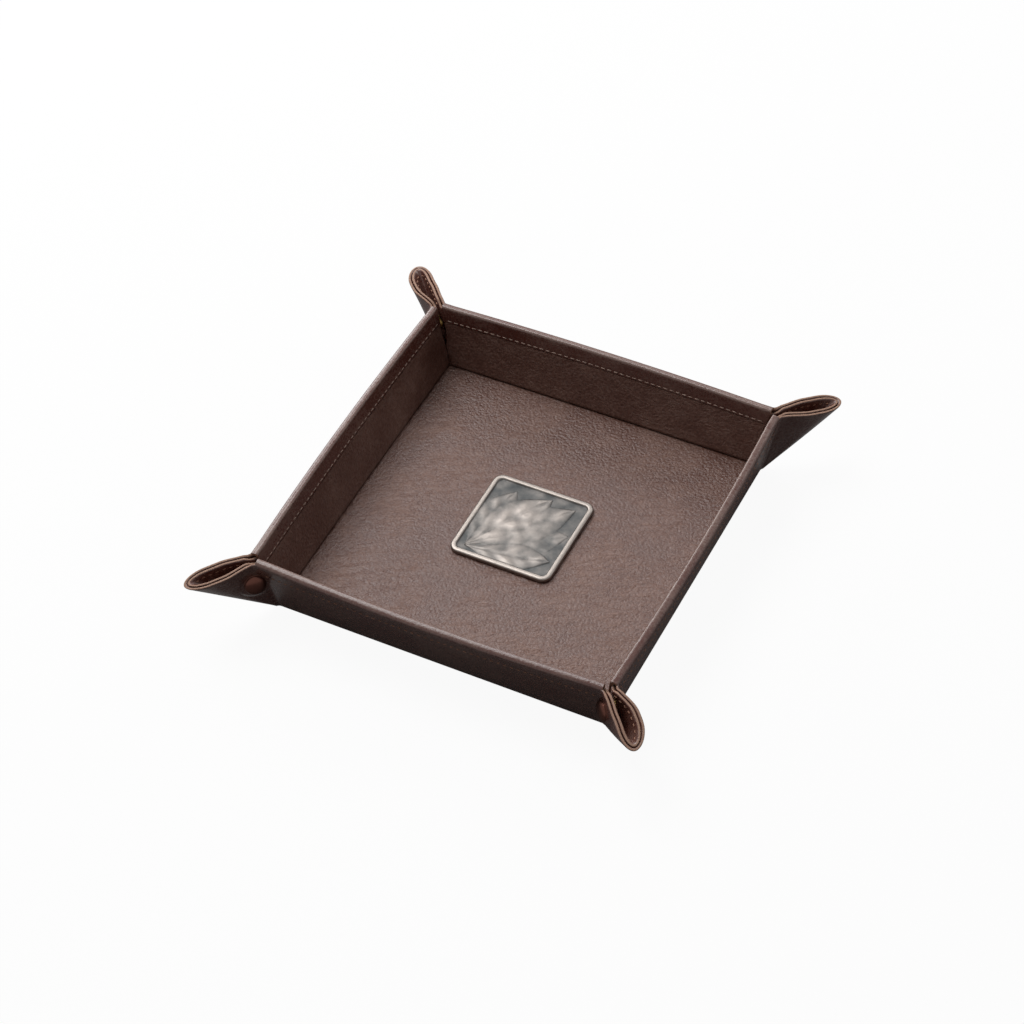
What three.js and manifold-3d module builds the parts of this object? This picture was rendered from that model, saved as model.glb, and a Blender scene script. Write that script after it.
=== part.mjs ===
// Entryway tray: a square leather tray whose four stiffened walls stand on fold lines around a lined
// floor. The leather left over in each corner is pinched into an ear by a snap, which holds the walls
// up; with the snaps undone, the tray opens flat. A cast plaque lies in the middle of the floor.
// Millimetres, +Z up, origin on the ground under the middle of the floor, front wall at -Y.
import * as THREE from 'three';
import { mergeVertices } from 'three/addons/utils/BufferGeometryUtils.js';
import Module from 'manifold-3d';

const wasm = await Module();
wasm.setup();
const { degToRad, lerp } = THREE.MathUtils;

// Floor and walls
const FLOOR_SIDE = 200; // fold line to fold line
const FLOOR_ROUND = 2; // corners of the floor's plies
const FLOOR_BOARD = 2;
const WALL_HEIGHT = 44; // up the slope of a wall, outside
const WALL_BOARD = 1.8;
const LEAN_MIDDLE = degToRad(15.5); // outward lean of a wall halfway along
const LEAN_END = degToRad(12); // lean at a wall's ends, where the snaps pull it in
const LEATHER = 1.8;
const PLY_GAP = 0.3; // clearance between plies and at folds

// Rim and its seam
const TURN_DEPTH = 10.5; // outer leather turned down inside the rim
const SEAM_DROP = 9; // rim to the row of stitches
const THREAD_WIDTH = 0.8;
const THREAD_HEIGHT = 0.4;

// Ears
const EAR_CORNER = 6; // rounding of the leather sheet's corner
const EAR_NOSE = 11; // length of the round end of the loop, at the top
const EAR_PLY_GAP = 0.4;
const CREASE_GAP = 0.2; // each half of an ear stops this far from the crease
const CREASE_PLY = 0.4; // least half thickness left where the ear narrows to the floor corner
const EAR_FOLD = degToRad(36.5); // turn of each half of an ear when the tray is opened flat

// Snaps
const SNAP_DROP = 15; // rim to snap centre
const SNAP_ROOM = 2.94; // between the linings at the snap
const CAP_DIAMETER = 12.5;
const CAP_DOME = 2.2;
const CAP_EDGE = 0.6; // upright edge of the cap
const CAP_SINK = 0.3; // how deep the cap is pressed into the leather
const CAP_MARGIN = 1.2; // cap to the crease at the wall's end
const SHANK_DIAMETER = 3;
const SOCKET_DIAMETER = 8.4;
const SOCKET_PLATE = 0.3;
const SOCKET_SINK = 0.2;
const STUD_DIAMETER = 7.2;
const STUD_FLANGE = 0.6;
const KNOB_DIAMETER = 3.8;
const KNOB_NECK = 3.2;
const KNOB_HEIGHT = 1.3;
const KNOB_PLAY = 0.4; // around the knob in its socket
const POST_DIAMETER = 8;
const POST_FLANGE = 0.6;
const SEAT_CLEARANCE = 0.3; // leather cut back around the metal

// Plaque
const PLAQUE_SIDE = 61;
const PLAQUE_CORNER = 6;
const PLAQUE_RIM = 3;
const PLAQUE_THICKNESS = 2.8;
const PLAQUE_RECESS = 0.9;
const ADHESIVE = 0.5;
const ADHESIVE_INSET = 2;
const STACK_GAP = 0.1; // between the flat plies of the floor

// Facets
const WALL_STEPS = 10;
const ROUND_STEPS = 16;
const ARC_STEPS = 5;
const FLANK_STEPS = 5;
const NOSE_STEPS = 5;
const OUTER_ROWS = 5;
const LINING_ROWS = 3;
const SHARED_CORNER = 1e-4; // corners closer than this are one

// Sizes worked out from the above
const HALF_FLOOR = FLOOR_SIDE / 2;
const WALL_THICKNESS = 2 * LEATHER + WALL_BOARD + 2 * PLY_GAP;
const EAR_THICKNESS = 2 * LEATHER + EAR_PLY_GAP;
const FLOOR_BOARD_Z = LEATHER + STACK_GAP;
const FLOOR_LINING_Z = FLOOR_BOARD_Z + FLOOR_BOARD + STACK_GAP;
const FLOOR_TOP = FLOOR_LINING_Z + LEATHER;
const FLOOR_PLY_SIDE = FLOOR_SIDE - 2 * (LEATHER + 2 * PLY_GAP);
const RIM_END_Z = WALL_HEIGHT * Math.cos(LEAN_END);
const SNAP_Z = RIM_END_Z - SNAP_DROP;

// A wall ends this far inside the floor corner, so that the plies of both halves fit at the snap
const CORNER_SETBACK = Math.SQRT2 * (EAR_THICKNESS + SNAP_ROOM / 2) - SNAP_Z * Math.tan(LEAN_END);

// The crease of an ear rises at the angle at which a square of sheet folds between two leaning walls
const CREASE_ANGLE =
  Math.atan2(Math.cos(LEAN_END), Math.sin(LEAN_END) / Math.SQRT2) -
  Math.acos(1 / Math.sqrt(1 + Math.cos(LEAN_END) ** 2));
const CREASE_LENGTH = Math.SQRT2 * WALL_HEIGHT - (Math.SQRT2 - 1) * EAR_CORNER;
const EAR_REACH = CREASE_LENGTH * Math.cos(CREASE_ANGLE);
const EAR_TIP_Z = CREASE_LENGTH * Math.sin(CREASE_ANGLE);

// Distance of an ear's outer face from its crease plane, at a share of the way up
const flank = (rise) => (CORNER_SETBACK + rise * WALL_HEIGHT * Math.sin(LEAN_END)) / Math.SQRT2;
const riseWhereFlankIs = (width) =>
  (width * Math.SQRT2 - CORNER_SETBACK) / (WALL_HEIGHT * Math.sin(LEAN_END));
const OUTER_START = riseWhereFlankIs(LEATHER + CREASE_PLY);
const LINING_START = riseWhereFlankIs(EAR_THICKNESS + CREASE_PLY);

// Place of the snap, from the floor corner: along the diagonal, and the two faces of an ear half there
const SNAP_FLANK = (CORNER_SETBACK + SNAP_Z * Math.tan(LEAN_END)) / Math.SQRT2;
const SNAP_REACH = SNAP_FLANK - Math.SQRT2 * CORNER_SETBACK + CAP_MARGIN + CAP_DIAMETER / 2;
const SNAP_LINING = SNAP_FLANK - EAR_THICKNESS;
const SNAP_OUTSIDE = SNAP_FLANK + CAP_DIAMETER; // well clear of an ear's outer face

const finish = (color, roughness, metalness) => new THREE.MeshStandardMaterial({ color, roughness, metalness });
const LEATHER_OUTSIDE = finish(0x3a2a24, 0.5, 0);
const LEATHER_INSIDE = finish(0x4a3730, 0.48, 0);
const GREYBOARD = finish(0x8c867c, 0.9, 0);
const THREAD = finish(0x8a6552, 0.7, 0);
const LACQUERED_BRASS = finish(0x5c3a30, 0.4, 0.6);
const PLAIN_BRASS = finish(0xa08450, 0.35, 1);
const PEWTER = finish(0x9a9690, 0.42, 1);
const ADHESIVE_TAPE = finish(0xd8d4c8, 0.6, 0);

// A geometry with shared corners and its faces pointing out
function closed(geometry) {
  const shell = geometry.clone();
  shell.deleteAttribute('normal');
  shell.deleteAttribute('uv');
  const merged = mergeVertices(shell, SHARED_CORNER);
  const corner = [new THREE.Vector3(), new THREE.Vector3(), new THREE.Vector3()];
  const faces = [];
  let volume = 0;
  for (let i = 0; i < merged.index.count; i += 3) {
    const face = [0, 1, 2].map((k) => merged.index.getX(i + k));
    if (new Set(face).size < 3) continue;
    face.forEach((vertex, k) => corner[k].fromBufferAttribute(merged.attributes.position, vertex));
    volume += corner[0].dot(corner[1].clone().cross(corner[2]));
    faces.push(face);
  }
  merged.setIndex(faces.flatMap(([a, b, c]) => (volume < 0 ? [a, c, b] : [a, b, c])));
  merged.computeVertexNormals();
  return merged;
}

function toSolid(geometry) {
  const shell = closed(geometry);
  return new wasm.Manifold(
    new wasm.Mesh({
      numProp: 3,
      vertProperties: new Float32Array(shell.attributes.position.array),
      triVerts: new Uint32Array(shell.index.array),
    }),
  );
}

// A body with every cutter taken away
function cut(geometry, cutters) {
  const solid = cutters.reduce((rest, cutter) => rest.subtract(toSolid(cutter)), toSolid(geometry));
  const mesh = solid.getMesh();
  const result = new THREE.BufferGeometry();
  result.setAttribute('position', new THREE.BufferAttribute(new Float32Array(mesh.vertProperties), 3));
  result.setIndex(new THREE.BufferAttribute(new Uint32Array(mesh.triVerts), 1));
  return result;
}

// A closed outline carried through steps 0 to 1; place(step, point) gives each corner. Every face is split
// along the diagonal that climbs with the steps, so that plies that lie on each other stay parallel.
function swept(outline, steps, place) {
  const positions = [];
  for (let step = 0; step <= steps; step += 1) {
    outline.forEach((point) => positions.push(...place(step / steps, point).toArray()));
  }
  const count = outline.length;
  const last = steps * count;
  const index = [];
  for (let step = 0; step < steps; step += 1) {
    for (let i = 0; i < count; i += 1) {
      const next = (i + 1) % count;
      const a = step * count + i;
      const b = step * count + next;
      if (outline[next].x > outline[i].x) index.push(a, b, b + count, a, b + count, a + count);
      else index.push(a, b, a + count, b, b + count, a + count);
    }
  }
  THREE.ShapeUtils.triangulateShape(outline, []).forEach(([a, b, c]) => {
    index.push(a, c, b, last + a, last + b, last + c);
  });
  const geometry = new THREE.BufferGeometry();
  geometry.setAttribute('position', new THREE.Float32BufferAttribute(positions, 3));
  geometry.setIndex(index);
  return closed(geometry);
}

function arc(centerX, centerY, radius, from, to) {
  return Array.from({ length: ARC_STEPS + 1 }, (_, i) => {
    const angle = lerp(from, to, i / ARC_STEPS);
    return new THREE.Vector2(centerX + radius * Math.cos(angle), centerY + radius * Math.sin(angle));
  });
}

function roundedSquare(side, radius) {
  const reach = side / 2 - radius;
  const shape = new THREE.Shape();
  [
    [reach, reach, 0],
    [-reach, reach, Math.PI / 2],
    [-reach, -reach, Math.PI],
    [reach, -reach, 1.5 * Math.PI],
  ].forEach(([x, y, from]) => shape.absarc(x, y, radius, from, from + Math.PI / 2, false));
  return shape;
}

function plate(side, radius, thickness) {
  return new THREE.ExtrudeGeometry(roundedSquare(side, radius), {
    depth: thickness,
    bevelEnabled: false,
    curveSegments: ARC_STEPS,
  });
}

function addMesh(group, name, geometry, material, z = 0) {
  const mesh = new THREE.Mesh(closed(geometry), material);
  mesh.name = name;
  mesh.position.z = z;
  group.add(mesh);
}

// Floor: outer leather, board and lining, with the plaque on its adhesive pad
function addFloor(tray) {
  const adhesiveZ = FLOOR_TOP + STACK_GAP;
  const plaqueZ = adhesiveZ + ADHESIVE + STACK_GAP;
  const recess = plate(PLAQUE_SIDE - 2 * PLAQUE_RIM, PLAQUE_CORNER - PLAQUE_RIM / 2, PLAQUE_THICKNESS);
  recess.translate(0, 0, PLAQUE_THICKNESS - PLAQUE_RECESS);
  const plaque = cut(plate(PLAQUE_SIDE, PLAQUE_CORNER, PLAQUE_THICKNESS), [recess]);
  const pad = plate(PLAQUE_SIDE - 2 * ADHESIVE_INSET, PLAQUE_CORNER - ADHESIVE_INSET, ADHESIVE);
  addMesh(tray, 'base_outer_leather', plate(FLOOR_SIDE, FLOOR_ROUND, LEATHER), LEATHER_OUTSIDE);
  addMesh(tray, 'floor_board', plate(FLOOR_PLY_SIDE, FLOOR_ROUND, FLOOR_BOARD), GREYBOARD, FLOOR_BOARD_Z);
  addMesh(tray, 'floor_lining', plate(FLOOR_PLY_SIDE, FLOOR_ROUND, LEATHER), LEATHER_INSIDE, FLOOR_LINING_Z);
  addMesh(tray, 'plaque_adhesive', pad, ADHESIVE_TAPE, adhesiveZ);
  addMesh(tray, 'plaque', plaque, PEWTER, plaqueZ);
}

// A wall's section point is (up the slope, in from the outer face). The lean grows from the ends to
// the middle as a parabola, and the ends are mitred where two walls would meet.
function onWall(step, { x: up, y: inward }) {
  const along = 2 * step - 1;
  const lean = lerp(LEAN_MIDDLE, LEAN_END, along * along);
  const mitre = inward * Math.cos(LEAN_END) - up * Math.sin(LEAN_END) + PLY_GAP;
  return new THREE.Vector3(
    along * (HALF_FLOOR - Math.max(CORNER_SETBACK, mitre)),
    -HALF_FLOOR - up * Math.sin(lean) + inward * Math.cos(lean),
    up * Math.cos(lean) + inward * Math.sin(lean),
  );
}

const band = (bottom, top, outside, inside) => [
  new THREE.Vector2(bottom, outside),
  new THREE.Vector2(top, outside),
  new THREE.Vector2(top, inside),
  new THREE.Vector2(bottom, inside),
];

// Wall: board between outer leather, which is turned over the rim, and lining, with the seam's thread
function addWall(group, name) {
  const rim = WALL_THICKNESS / 2;
  const shoulder = WALL_HEIGHT - rim;
  const turnEnd = WALL_HEIGHT - TURN_DEPTH;
  const liningFace = WALL_THICKNESS - LEATHER;
  const outerStart = (LEATHER + PLY_GAP) / Math.cos(LEAN_MIDDLE);
  const innerStart = (FLOOR_TOP + PLY_GAP) / Math.cos(LEAN_MIDDLE);
  const seam = WALL_HEIGHT - SEAM_DROP;
  const outer = [
    new THREE.Vector2(outerStart, 0),
    ...arc(shoulder, rim, rim, -Math.PI / 2, Math.PI / 2),
    new THREE.Vector2(turnEnd, WALL_THICKNESS),
    new THREE.Vector2(turnEnd, liningFace),
    ...arc(shoulder, rim, rim - LEATHER, Math.PI / 2, -Math.PI / 2),
    new THREE.Vector2(outerStart, LEATHER),
  ];
  const board = band(innerStart, shoulder, LEATHER + PLY_GAP, liningFace - PLY_GAP);
  const lining = band(innerStart, turnEnd - PLY_GAP, liningFace, WALL_THICKNESS);
  const threadFace = WALL_THICKNESS + STACK_GAP;
  const thread = band(seam - THREAD_WIDTH / 2, seam + THREAD_WIDTH / 2, threadFace, threadFace + THREAD_HEIGHT);
  addMesh(group, `${name}_wall_outer_leather`, swept(outer, WALL_STEPS, onWall), LEATHER_OUTSIDE);
  addMesh(group, `${name}_wall_board`, swept(board, WALL_STEPS, onWall), GREYBOARD);
  addMesh(group, `${name}_wall_lining`, swept(lining, WALL_STEPS, onWall), LEATHER_INSIDE);
  addMesh(group, `${name}_wall_seam_thread`, swept(thread, WALL_STEPS, onWall), THREAD);
}

// From a floor corner's own frame (out along the diagonal, aside from the crease plane, up) to the
// frame of the front wall, at its -X end
const fromCorner = (out, aside, up) =>
  new THREE.Vector3(-HALF_FLOOR + (aside - out) / Math.SQRT2, -HALF_FLOOR - (aside + out) / Math.SQRT2, up);

// Half an ear is a cone from the floor corner over half a loop: a straight flank from the wall's end,
// then a quarter of an ellipse to the crease. depth goes in from the outer face. The end next to the
// wall is cut back with depth, so that it swings clear of the wall when the tray is opened flat.
function onEar(run, rise, depth) {
  const width = Math.max(flank(rise) - depth, CREASE_GAP);
  const start = width - Math.SQRT2 * (CORNER_SETBACK - PLY_GAP) + 2 * depth * Math.tan(EAR_FOLD);
  const nose = rise * EAR_NOSE;
  const noseStart = rise * EAR_REACH - nose;
  const straightShare = FLANK_STEPS / (FLANK_STEPS + NOSE_STEPS);
  const turn = (Math.max(0, run - straightShare) / (1 - straightShare)) * (Math.PI / 2);
  const onFlank = lerp(start, noseStart, Math.min(1, run / straightShare));
  const out = onFlank + (nose - depth * Math.sin(CREASE_ANGLE)) * Math.sin(turn);
  const aside = Math.max(width * Math.cos(turn), CREASE_GAP);
  const reached = (out - start) / (rise * EAR_REACH - start);
  const topZ = lerp(RIM_END_Z, EAR_TIP_Z, reached * reached);
  return fromCorner(out, aside, rise * topZ + depth * Math.cos(CREASE_ANGLE) * Math.sin(turn));
}

// One ply of half an ear, between two depths, from a starting share of the height up to the top edge
function earPly(riseStart, rows, outside, inside) {
  const path = [];
  for (let row = 0; row <= rows; row += 1) path.push(new THREE.Vector2(lerp(riseStart, 1, row / rows), outside));
  for (let row = rows; row >= 0; row -= 1) path.push(new THREE.Vector2(lerp(riseStart, 1, row / rows), inside));
  return swept(path, FLANK_STEPS + NOSE_STEPS, (step, { x: rise, y: depth }) => onEar(step, rise, depth));
}

// A turned piece on the snap's axis. The profile is (radius, distance from the crease plane).
function onSnapAxis(profile) {
  const geometry = new THREE.LatheGeometry(profile.map(([r, a]) => new THREE.Vector2(r, a)), ROUND_STEPS);
  const axis = new THREE.Vector3(1, -1, 0).normalize();
  geometry.applyQuaternion(new THREE.Quaternion().setFromUnitVectors(new THREE.Vector3(0, 1, 0), axis));
  const center = fromCorner(SNAP_REACH, 0, SNAP_Z);
  return geometry.translate(center.x, center.y, center.z);
}

const disc = (radius, from, to) => onSnapAxis([[0, from], [radius, from], [radius, to], [0, to]]);

const SHANK_HOLE = disc(SHANK_DIAMETER / 2 + SEAT_CLEARANCE, 0, SNAP_OUTSIDE);
const SOCKET_FACE = SNAP_LINING - SOCKET_SINK;
const SOCKET_MOUTH = -SNAP_LINING + SOCKET_SINK + STUD_FLANGE + PLY_GAP;

// Cap half: domed cap outside, its shank through both plies, and the socket inside
function capHalfSnap() {
  const radius = CAP_DIAMETER / 2;
  const seat = SNAP_FLANK - CAP_SINK;
  const shank = SHANK_DIAMETER / 2;
  const dome = arc(0, 0, 1, 0, Math.PI / 2).map(({ x, y }) => [
    x * radius,
    seat + CAP_EDGE + y * (CAP_DOME - CAP_EDGE),
  ]);
  const shankEnd = SOCKET_FACE + PLY_GAP;
  const bore = KNOB_DIAMETER / 2 + KNOB_PLAY;
  const boreEnd = SOCKET_FACE - SOCKET_PLATE;
  const socketRadius = SOCKET_DIAMETER / 2;
  return {
    cap: onSnapAxis([[0, shankEnd], [shank, shankEnd], [shank, seat], [radius, seat], ...dome]),
    socket: onSnapAxis([
      [0, boreEnd],
      [bore, boreEnd],
      [bore, SOCKET_MOUTH],
      [socketRadius, SOCKET_MOUTH],
      [socketRadius, SOCKET_FACE],
      [0, SOCKET_FACE],
    ]),
    capSeat: disc(radius + SEAT_CLEARANCE, seat - SEAT_CLEARANCE, SNAP_OUTSIDE),
    socketSeat: disc(socketRadius + SEAT_CLEARANCE, -SNAP_ROOM, SOCKET_FACE + SEAT_CLEARANCE),
  };
}

// Stud half: stud inside, held by a post whose flat head lies hidden between the plies
function studHalfSnap() {
  const flangeFace = SNAP_LINING - SOCKET_SINK;
  const flangeRadius = STUD_DIAMETER / 2;
  const knobFoot = flangeFace - STUD_FLANGE;
  const knob = arc(0, 0, 1, -Math.PI / 6, Math.PI / 2).map(({ x, y }) => [
    (x * KNOB_DIAMETER) / 2,
    knobFoot - KNOB_HEIGHT / 2 - (y * KNOB_HEIGHT) / 2,
  ]);
  const middle = SNAP_FLANK - EAR_THICKNESS / 2;
  const headFrom = middle - POST_FLANGE / 2;
  const headTo = middle + POST_FLANGE / 2;
  const headRadius = POST_DIAMETER / 2;
  const shank = SHANK_DIAMETER / 2;
  const shankEnd = flangeFace + PLY_GAP;
  return {
    stud: onSnapAxis([
      [0, flangeFace],
      [flangeRadius, flangeFace],
      [flangeRadius, knobFoot],
      [KNOB_NECK / 2, knobFoot],
      ...knob,
    ]),
    post: onSnapAxis([
      [0, shankEnd],
      [shank, shankEnd],
      [shank, headFrom],
      [headRadius, headFrom],
      [headRadius, headTo],
      [0, headTo],
    ]),
    headSeat: disc(headRadius + SEAT_CLEARANCE, headFrom - SEAT_CLEARANCE, headTo + SEAT_CLEARANCE),
    shankHole: disc(shank + SEAT_CLEARANCE, 0, middle),
    studSeat: disc(flangeRadius + SEAT_CLEARANCE, -SNAP_ROOM, flangeFace + SEAT_CLEARANCE),
  };
}

const EAR_OUTER = earPly(OUTER_START, OUTER_ROWS, 0, LEATHER);
const EAR_LINING = earPly(LINING_START, LINING_ROWS, LEATHER + EAR_PLY_GAP, EAR_THICKNESS);

function capHalf() {
  const { cap, socket, capSeat, socketSeat } = capHalfSnap();
  return [
    ['cap_half_outer', cut(EAR_OUTER, [SHANK_HOLE, capSeat]), LEATHER_OUTSIDE],
    ['cap_half_lining', cut(EAR_LINING, [SHANK_HOLE, socketSeat]), LEATHER_INSIDE],
    ['snap_cap', cap, LACQUERED_BRASS],
    ['snap_socket', socket, PLAIN_BRASS],
  ];
}

function studHalf() {
  const { stud, post, headSeat, shankHole, studSeat } = studHalfSnap();
  return [
    ['stud_half_outer', cut(EAR_OUTER, [headSeat]), LEATHER_OUTSIDE],
    ['stud_half_lining', cut(EAR_LINING, [headSeat, shankHole, studSeat]), LEATHER_INSIDE],
    ['snap_stud', stud, PLAIN_BRASS],
    ['snap_post', post, PLAIN_BRASS],
  ];
}

// The front wall's frame turned about Z gives each wall; ends are the corners at its -X and +X side
const WALLS = [
  { name: 'front', turn: 0, half: capHalf(), ends: ['front_left', 'front_right'] },
  { name: 'right', turn: Math.PI / 2, half: studHalf(), ends: ['front_right', 'back_right'] },
  { name: 'back', turn: Math.PI, half: capHalf(), ends: ['back_right', 'back_left'] },
  { name: 'left', turn: -Math.PI / 2, half: studHalf(), ends: ['back_left', 'front_left'] },
];

const tray = new THREE.Group();
addFloor(tray);
WALLS.forEach(({ name, turn, half, ends }) => {
  const wall = new THREE.Group();
  wall.rotation.z = turn;
  addWall(wall, name);
  ends.forEach((corner, end) => {
    half.forEach(([piece, geometry, material]) => {
      const placed = end === 0 ? geometry : geometry.clone().scale(-1, 1, 1);
      addMesh(wall, `${corner}_${piece}`, placed, material);
    });
  });
  tray.add(wall);
});

export default tray;
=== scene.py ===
"""Dresses a folding leather tray: its plies, stitches, snaps and cast plaque, and a studio round it.

Each leather ply of the frame is replaced by a fine closed sheet, worked out from a few sizes.
Lengths are metres, in the frame's own axes: +Z up, the origin on the ground under the middle of the floor.
"""

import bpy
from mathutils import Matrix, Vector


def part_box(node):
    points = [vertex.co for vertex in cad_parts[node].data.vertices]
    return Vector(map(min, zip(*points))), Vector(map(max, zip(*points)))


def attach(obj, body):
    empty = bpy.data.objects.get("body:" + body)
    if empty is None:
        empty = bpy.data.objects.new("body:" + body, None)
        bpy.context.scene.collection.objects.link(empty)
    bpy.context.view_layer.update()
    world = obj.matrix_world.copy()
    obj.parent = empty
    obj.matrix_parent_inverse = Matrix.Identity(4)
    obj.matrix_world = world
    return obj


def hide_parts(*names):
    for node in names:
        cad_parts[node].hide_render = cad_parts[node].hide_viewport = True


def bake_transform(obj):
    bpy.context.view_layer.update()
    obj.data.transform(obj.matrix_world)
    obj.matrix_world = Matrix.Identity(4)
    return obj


bl_info = {
    "name": "Leather Tray",
    "version": (1, 0, 0),
    "blender": (4, 5, 0),
    "location": "View3D > Sidebar > Tray",
    "description": "Dresses a folding leather tray and sets up its studio",
    "category": "Object",
}

import math
from types import SimpleNamespace

import bmesh
import bpy
import numpy as np
from mathutils import Matrix, Vector

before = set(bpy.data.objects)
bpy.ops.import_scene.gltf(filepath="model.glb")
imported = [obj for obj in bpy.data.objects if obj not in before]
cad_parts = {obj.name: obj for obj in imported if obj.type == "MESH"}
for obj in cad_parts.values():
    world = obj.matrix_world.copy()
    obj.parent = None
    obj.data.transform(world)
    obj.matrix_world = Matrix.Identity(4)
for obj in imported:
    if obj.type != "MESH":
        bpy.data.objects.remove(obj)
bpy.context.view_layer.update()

MM = 0.001
DIAGONAL = math.sqrt(2)  # of a square with a side of 1
BASE_LOW, BASE_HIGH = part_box("base_outer_leather")
LINING_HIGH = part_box("floor_lining")[1]
BOARD_LOW, BOARD_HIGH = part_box("floor_board")
WALL_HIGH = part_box("front_wall_outer_leather")[1]
PLAQUE_LOW, PLAQUE_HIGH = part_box("plaque")
# The dressed tray departs a little from the frame: its walls end closer to the floor's corners, its lining
# reaches further, to meet thinner walls, and its plaque is wider and lower
END_SHIFT, LINING_GROWTH, PLAQUE_GROWTH, PLAQUE_DROP = 0.7 * MM, 1.1 * MM, 1 * MM, 0.7 * MM
SETBACK = BASE_HIGH.x - WALL_HIGH.x - END_SHIFT

# Each wall is the front wall turned about Z: its name, that turn, the half of an ear that hangs on its ends,
# and the corners at its -X and +X end
WALLS = (
    ("front", 0.0, "cap", ("front_left", "front_right")),
    ("right", math.pi / 2, "stud", ("front_right", "back_right")),
    ("back", math.pi, "cap", ("back_right", "back_left")),
    ("left", -math.pi / 2, "stud", ("back_left", "front_left")),
)
# Each half of an ear: its wall, the wall's turn, cap or stud, its corner, and whether that is at the +X end
EAR_HALVES = [
    (wall, turn, half, corner, end == 1)
    for wall, turn, half, corners in WALLS
    for end, corner in enumerate(corners)
]
# How far the loop of each ear sways anticlockwise from above, at its middle and at its tip, and how far its
# tip stands up
EAR_SWAY = {
    "front_left": (1.5 * MM, 0.0, 1.2 * MM),
    "front_right": (2.2 * MM, 0.0, 2.0 * MM),
    "back_right": (-1.2 * MM, 1.6 * MM, 1.0 * MM),
    "back_left": (2.5 * MM, 1.0 * MM, 3.5 * MM),
}


def length(name, description, value):
    """A length that a user can set, in metres."""
    return bpy.props.FloatProperty(
        name=name, description=description, default=value, min=0, unit="LENGTH", precision=5
    )


def angle(name, description, degrees):
    """An angle that a user can set."""
    return bpy.props.FloatProperty(
        name=name, description=description, default=math.radians(degrees), unit="ROTATION", subtype="ANGLE"
    )


def linear(code):
    """A linear RGBA colour from an sRGB hex code."""
    share = np.array([int(code[i : i + 2], 16) for i in (1, 3, 5)]) / 255
    rgb = np.where(share <= 0.04045, share / 12.92, ((share + 0.055) / 1.055) ** 2.4)
    return (*rgb.tolist(), 1.0)


def colour(name, description, code):
    """A colour that a user can set, given as an sRGB hex code."""
    return bpy.props.FloatVectorProperty(
        name=name, description=description, default=linear(code), size=4, min=0, max=1, subtype="COLOR"
    )


class TraySizes(bpy.types.PropertyGroup):
    """Sizes of the tray. Those of the floor, the wall ends and the plaque follow the frame."""

    floor_side: length("Floor", "Fold line to fold line", BASE_HIGH.x - BASE_LOW.x)
    leather: length("Leather", "Thickness of one ply", BASE_HIGH.z - BASE_LOW.z)
    floor_top: length("Floor height", "Top of the floor's lining", LINING_HIGH.z)
    corner_setback: length("Corner setback", "Floor corner to a wall's end", SETBACK)
    wall_height: length("Wall height", "Up the slope of a wall, outside", 44 * MM)
    wall_thickness: length("Wall thickness", "Both plies and the board", 5.2 * MM)
    lean_middle: angle("Lean in the middle", "Outward lean of a wall halfway along", 16.5)
    lean_end: angle("Lean at the ends", "Outward lean of a wall where the snaps pull it in", 13.4)
    fold_radius: length("Fold radius", "Outside of the fold between floor and wall", 2.2 * MM)
    rim_turn: length("Rim turn", "Outer leather turned down inside the rim", 10.5 * MM)
    seam_drop: length("Seam drop", "Rim to the row of stitches", 9 * MM)
    stitch_pitch: length("Stitch pitch", "One stitch to the next", 3.9 * MM)
    stitch_length: length("Stitch length", "Thread that shows of one stitch inside", 3.0 * MM)
    outer_stitch: length("Outer stitch", "Thread that shows of one stitch outside", 2.2 * MM)
    thread: length("Thread", "Thickness of the thread", 0.62 * MM)
    bend_radius: length("Bend radius", "Outside of the bend where a wall runs into an ear", 3.5 * MM)
    ear_corner: length("Ear corner", "Rounding of the leather sheet's corner", 6 * MM)
    ear_nose: length("Ear nose", "Length of the round end of the loop", 14 * MM)
    ear_mouth: length("Ear mouth", "Half the width of an ear where the rims end", 5 * MM)
    ear_bulge: length("Ear bulge", "Half the width of an ear at its widest", 7.4 * MM)
    ear_ply_gap: length("Ear groove", "Between the two plies of an ear", 0.4 * MM)
    ear_seam_drop: length("Ear seam drop", "Top edge of an ear to its stitches", 3 * MM)
    snap_drop: length("Snap drop", "Rim to the snap's centre", 15 * MM)
    cap_diameter: length("Cap", "Diameter of a snap's cap", 12.5 * MM)
    cap_dome: length("Cap dome", "Height of a snap's cap", 2.9 * MM)
    cap_tilt: angle("Cap tilt", "How far a cap is pulled to face upwards", 14)
    cap_margin: length("Cap margin", "Cap to the bend at the wall's end", 0.4 * MM)
    plaque_side: length("Plaque", "Side of the plaque", PLAQUE_HIGH.x - PLAQUE_LOW.x + PLAQUE_GROWTH)
    plaque_top: length("Plaque height", "Top of the plaque's rim", PLAQUE_HIGH.z - PLAQUE_DROP)
    plaque_corner: length("Plaque corner", "Rounding of the plaque's corners", 6 * MM)
    plaque_rim: length("Plaque rim", "Width of the plaque's raised rim", 3.7 * MM)
    plaque_recess: length("Plaque recess", "Depth of the field inside the rim", 1.5 * MM)


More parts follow.
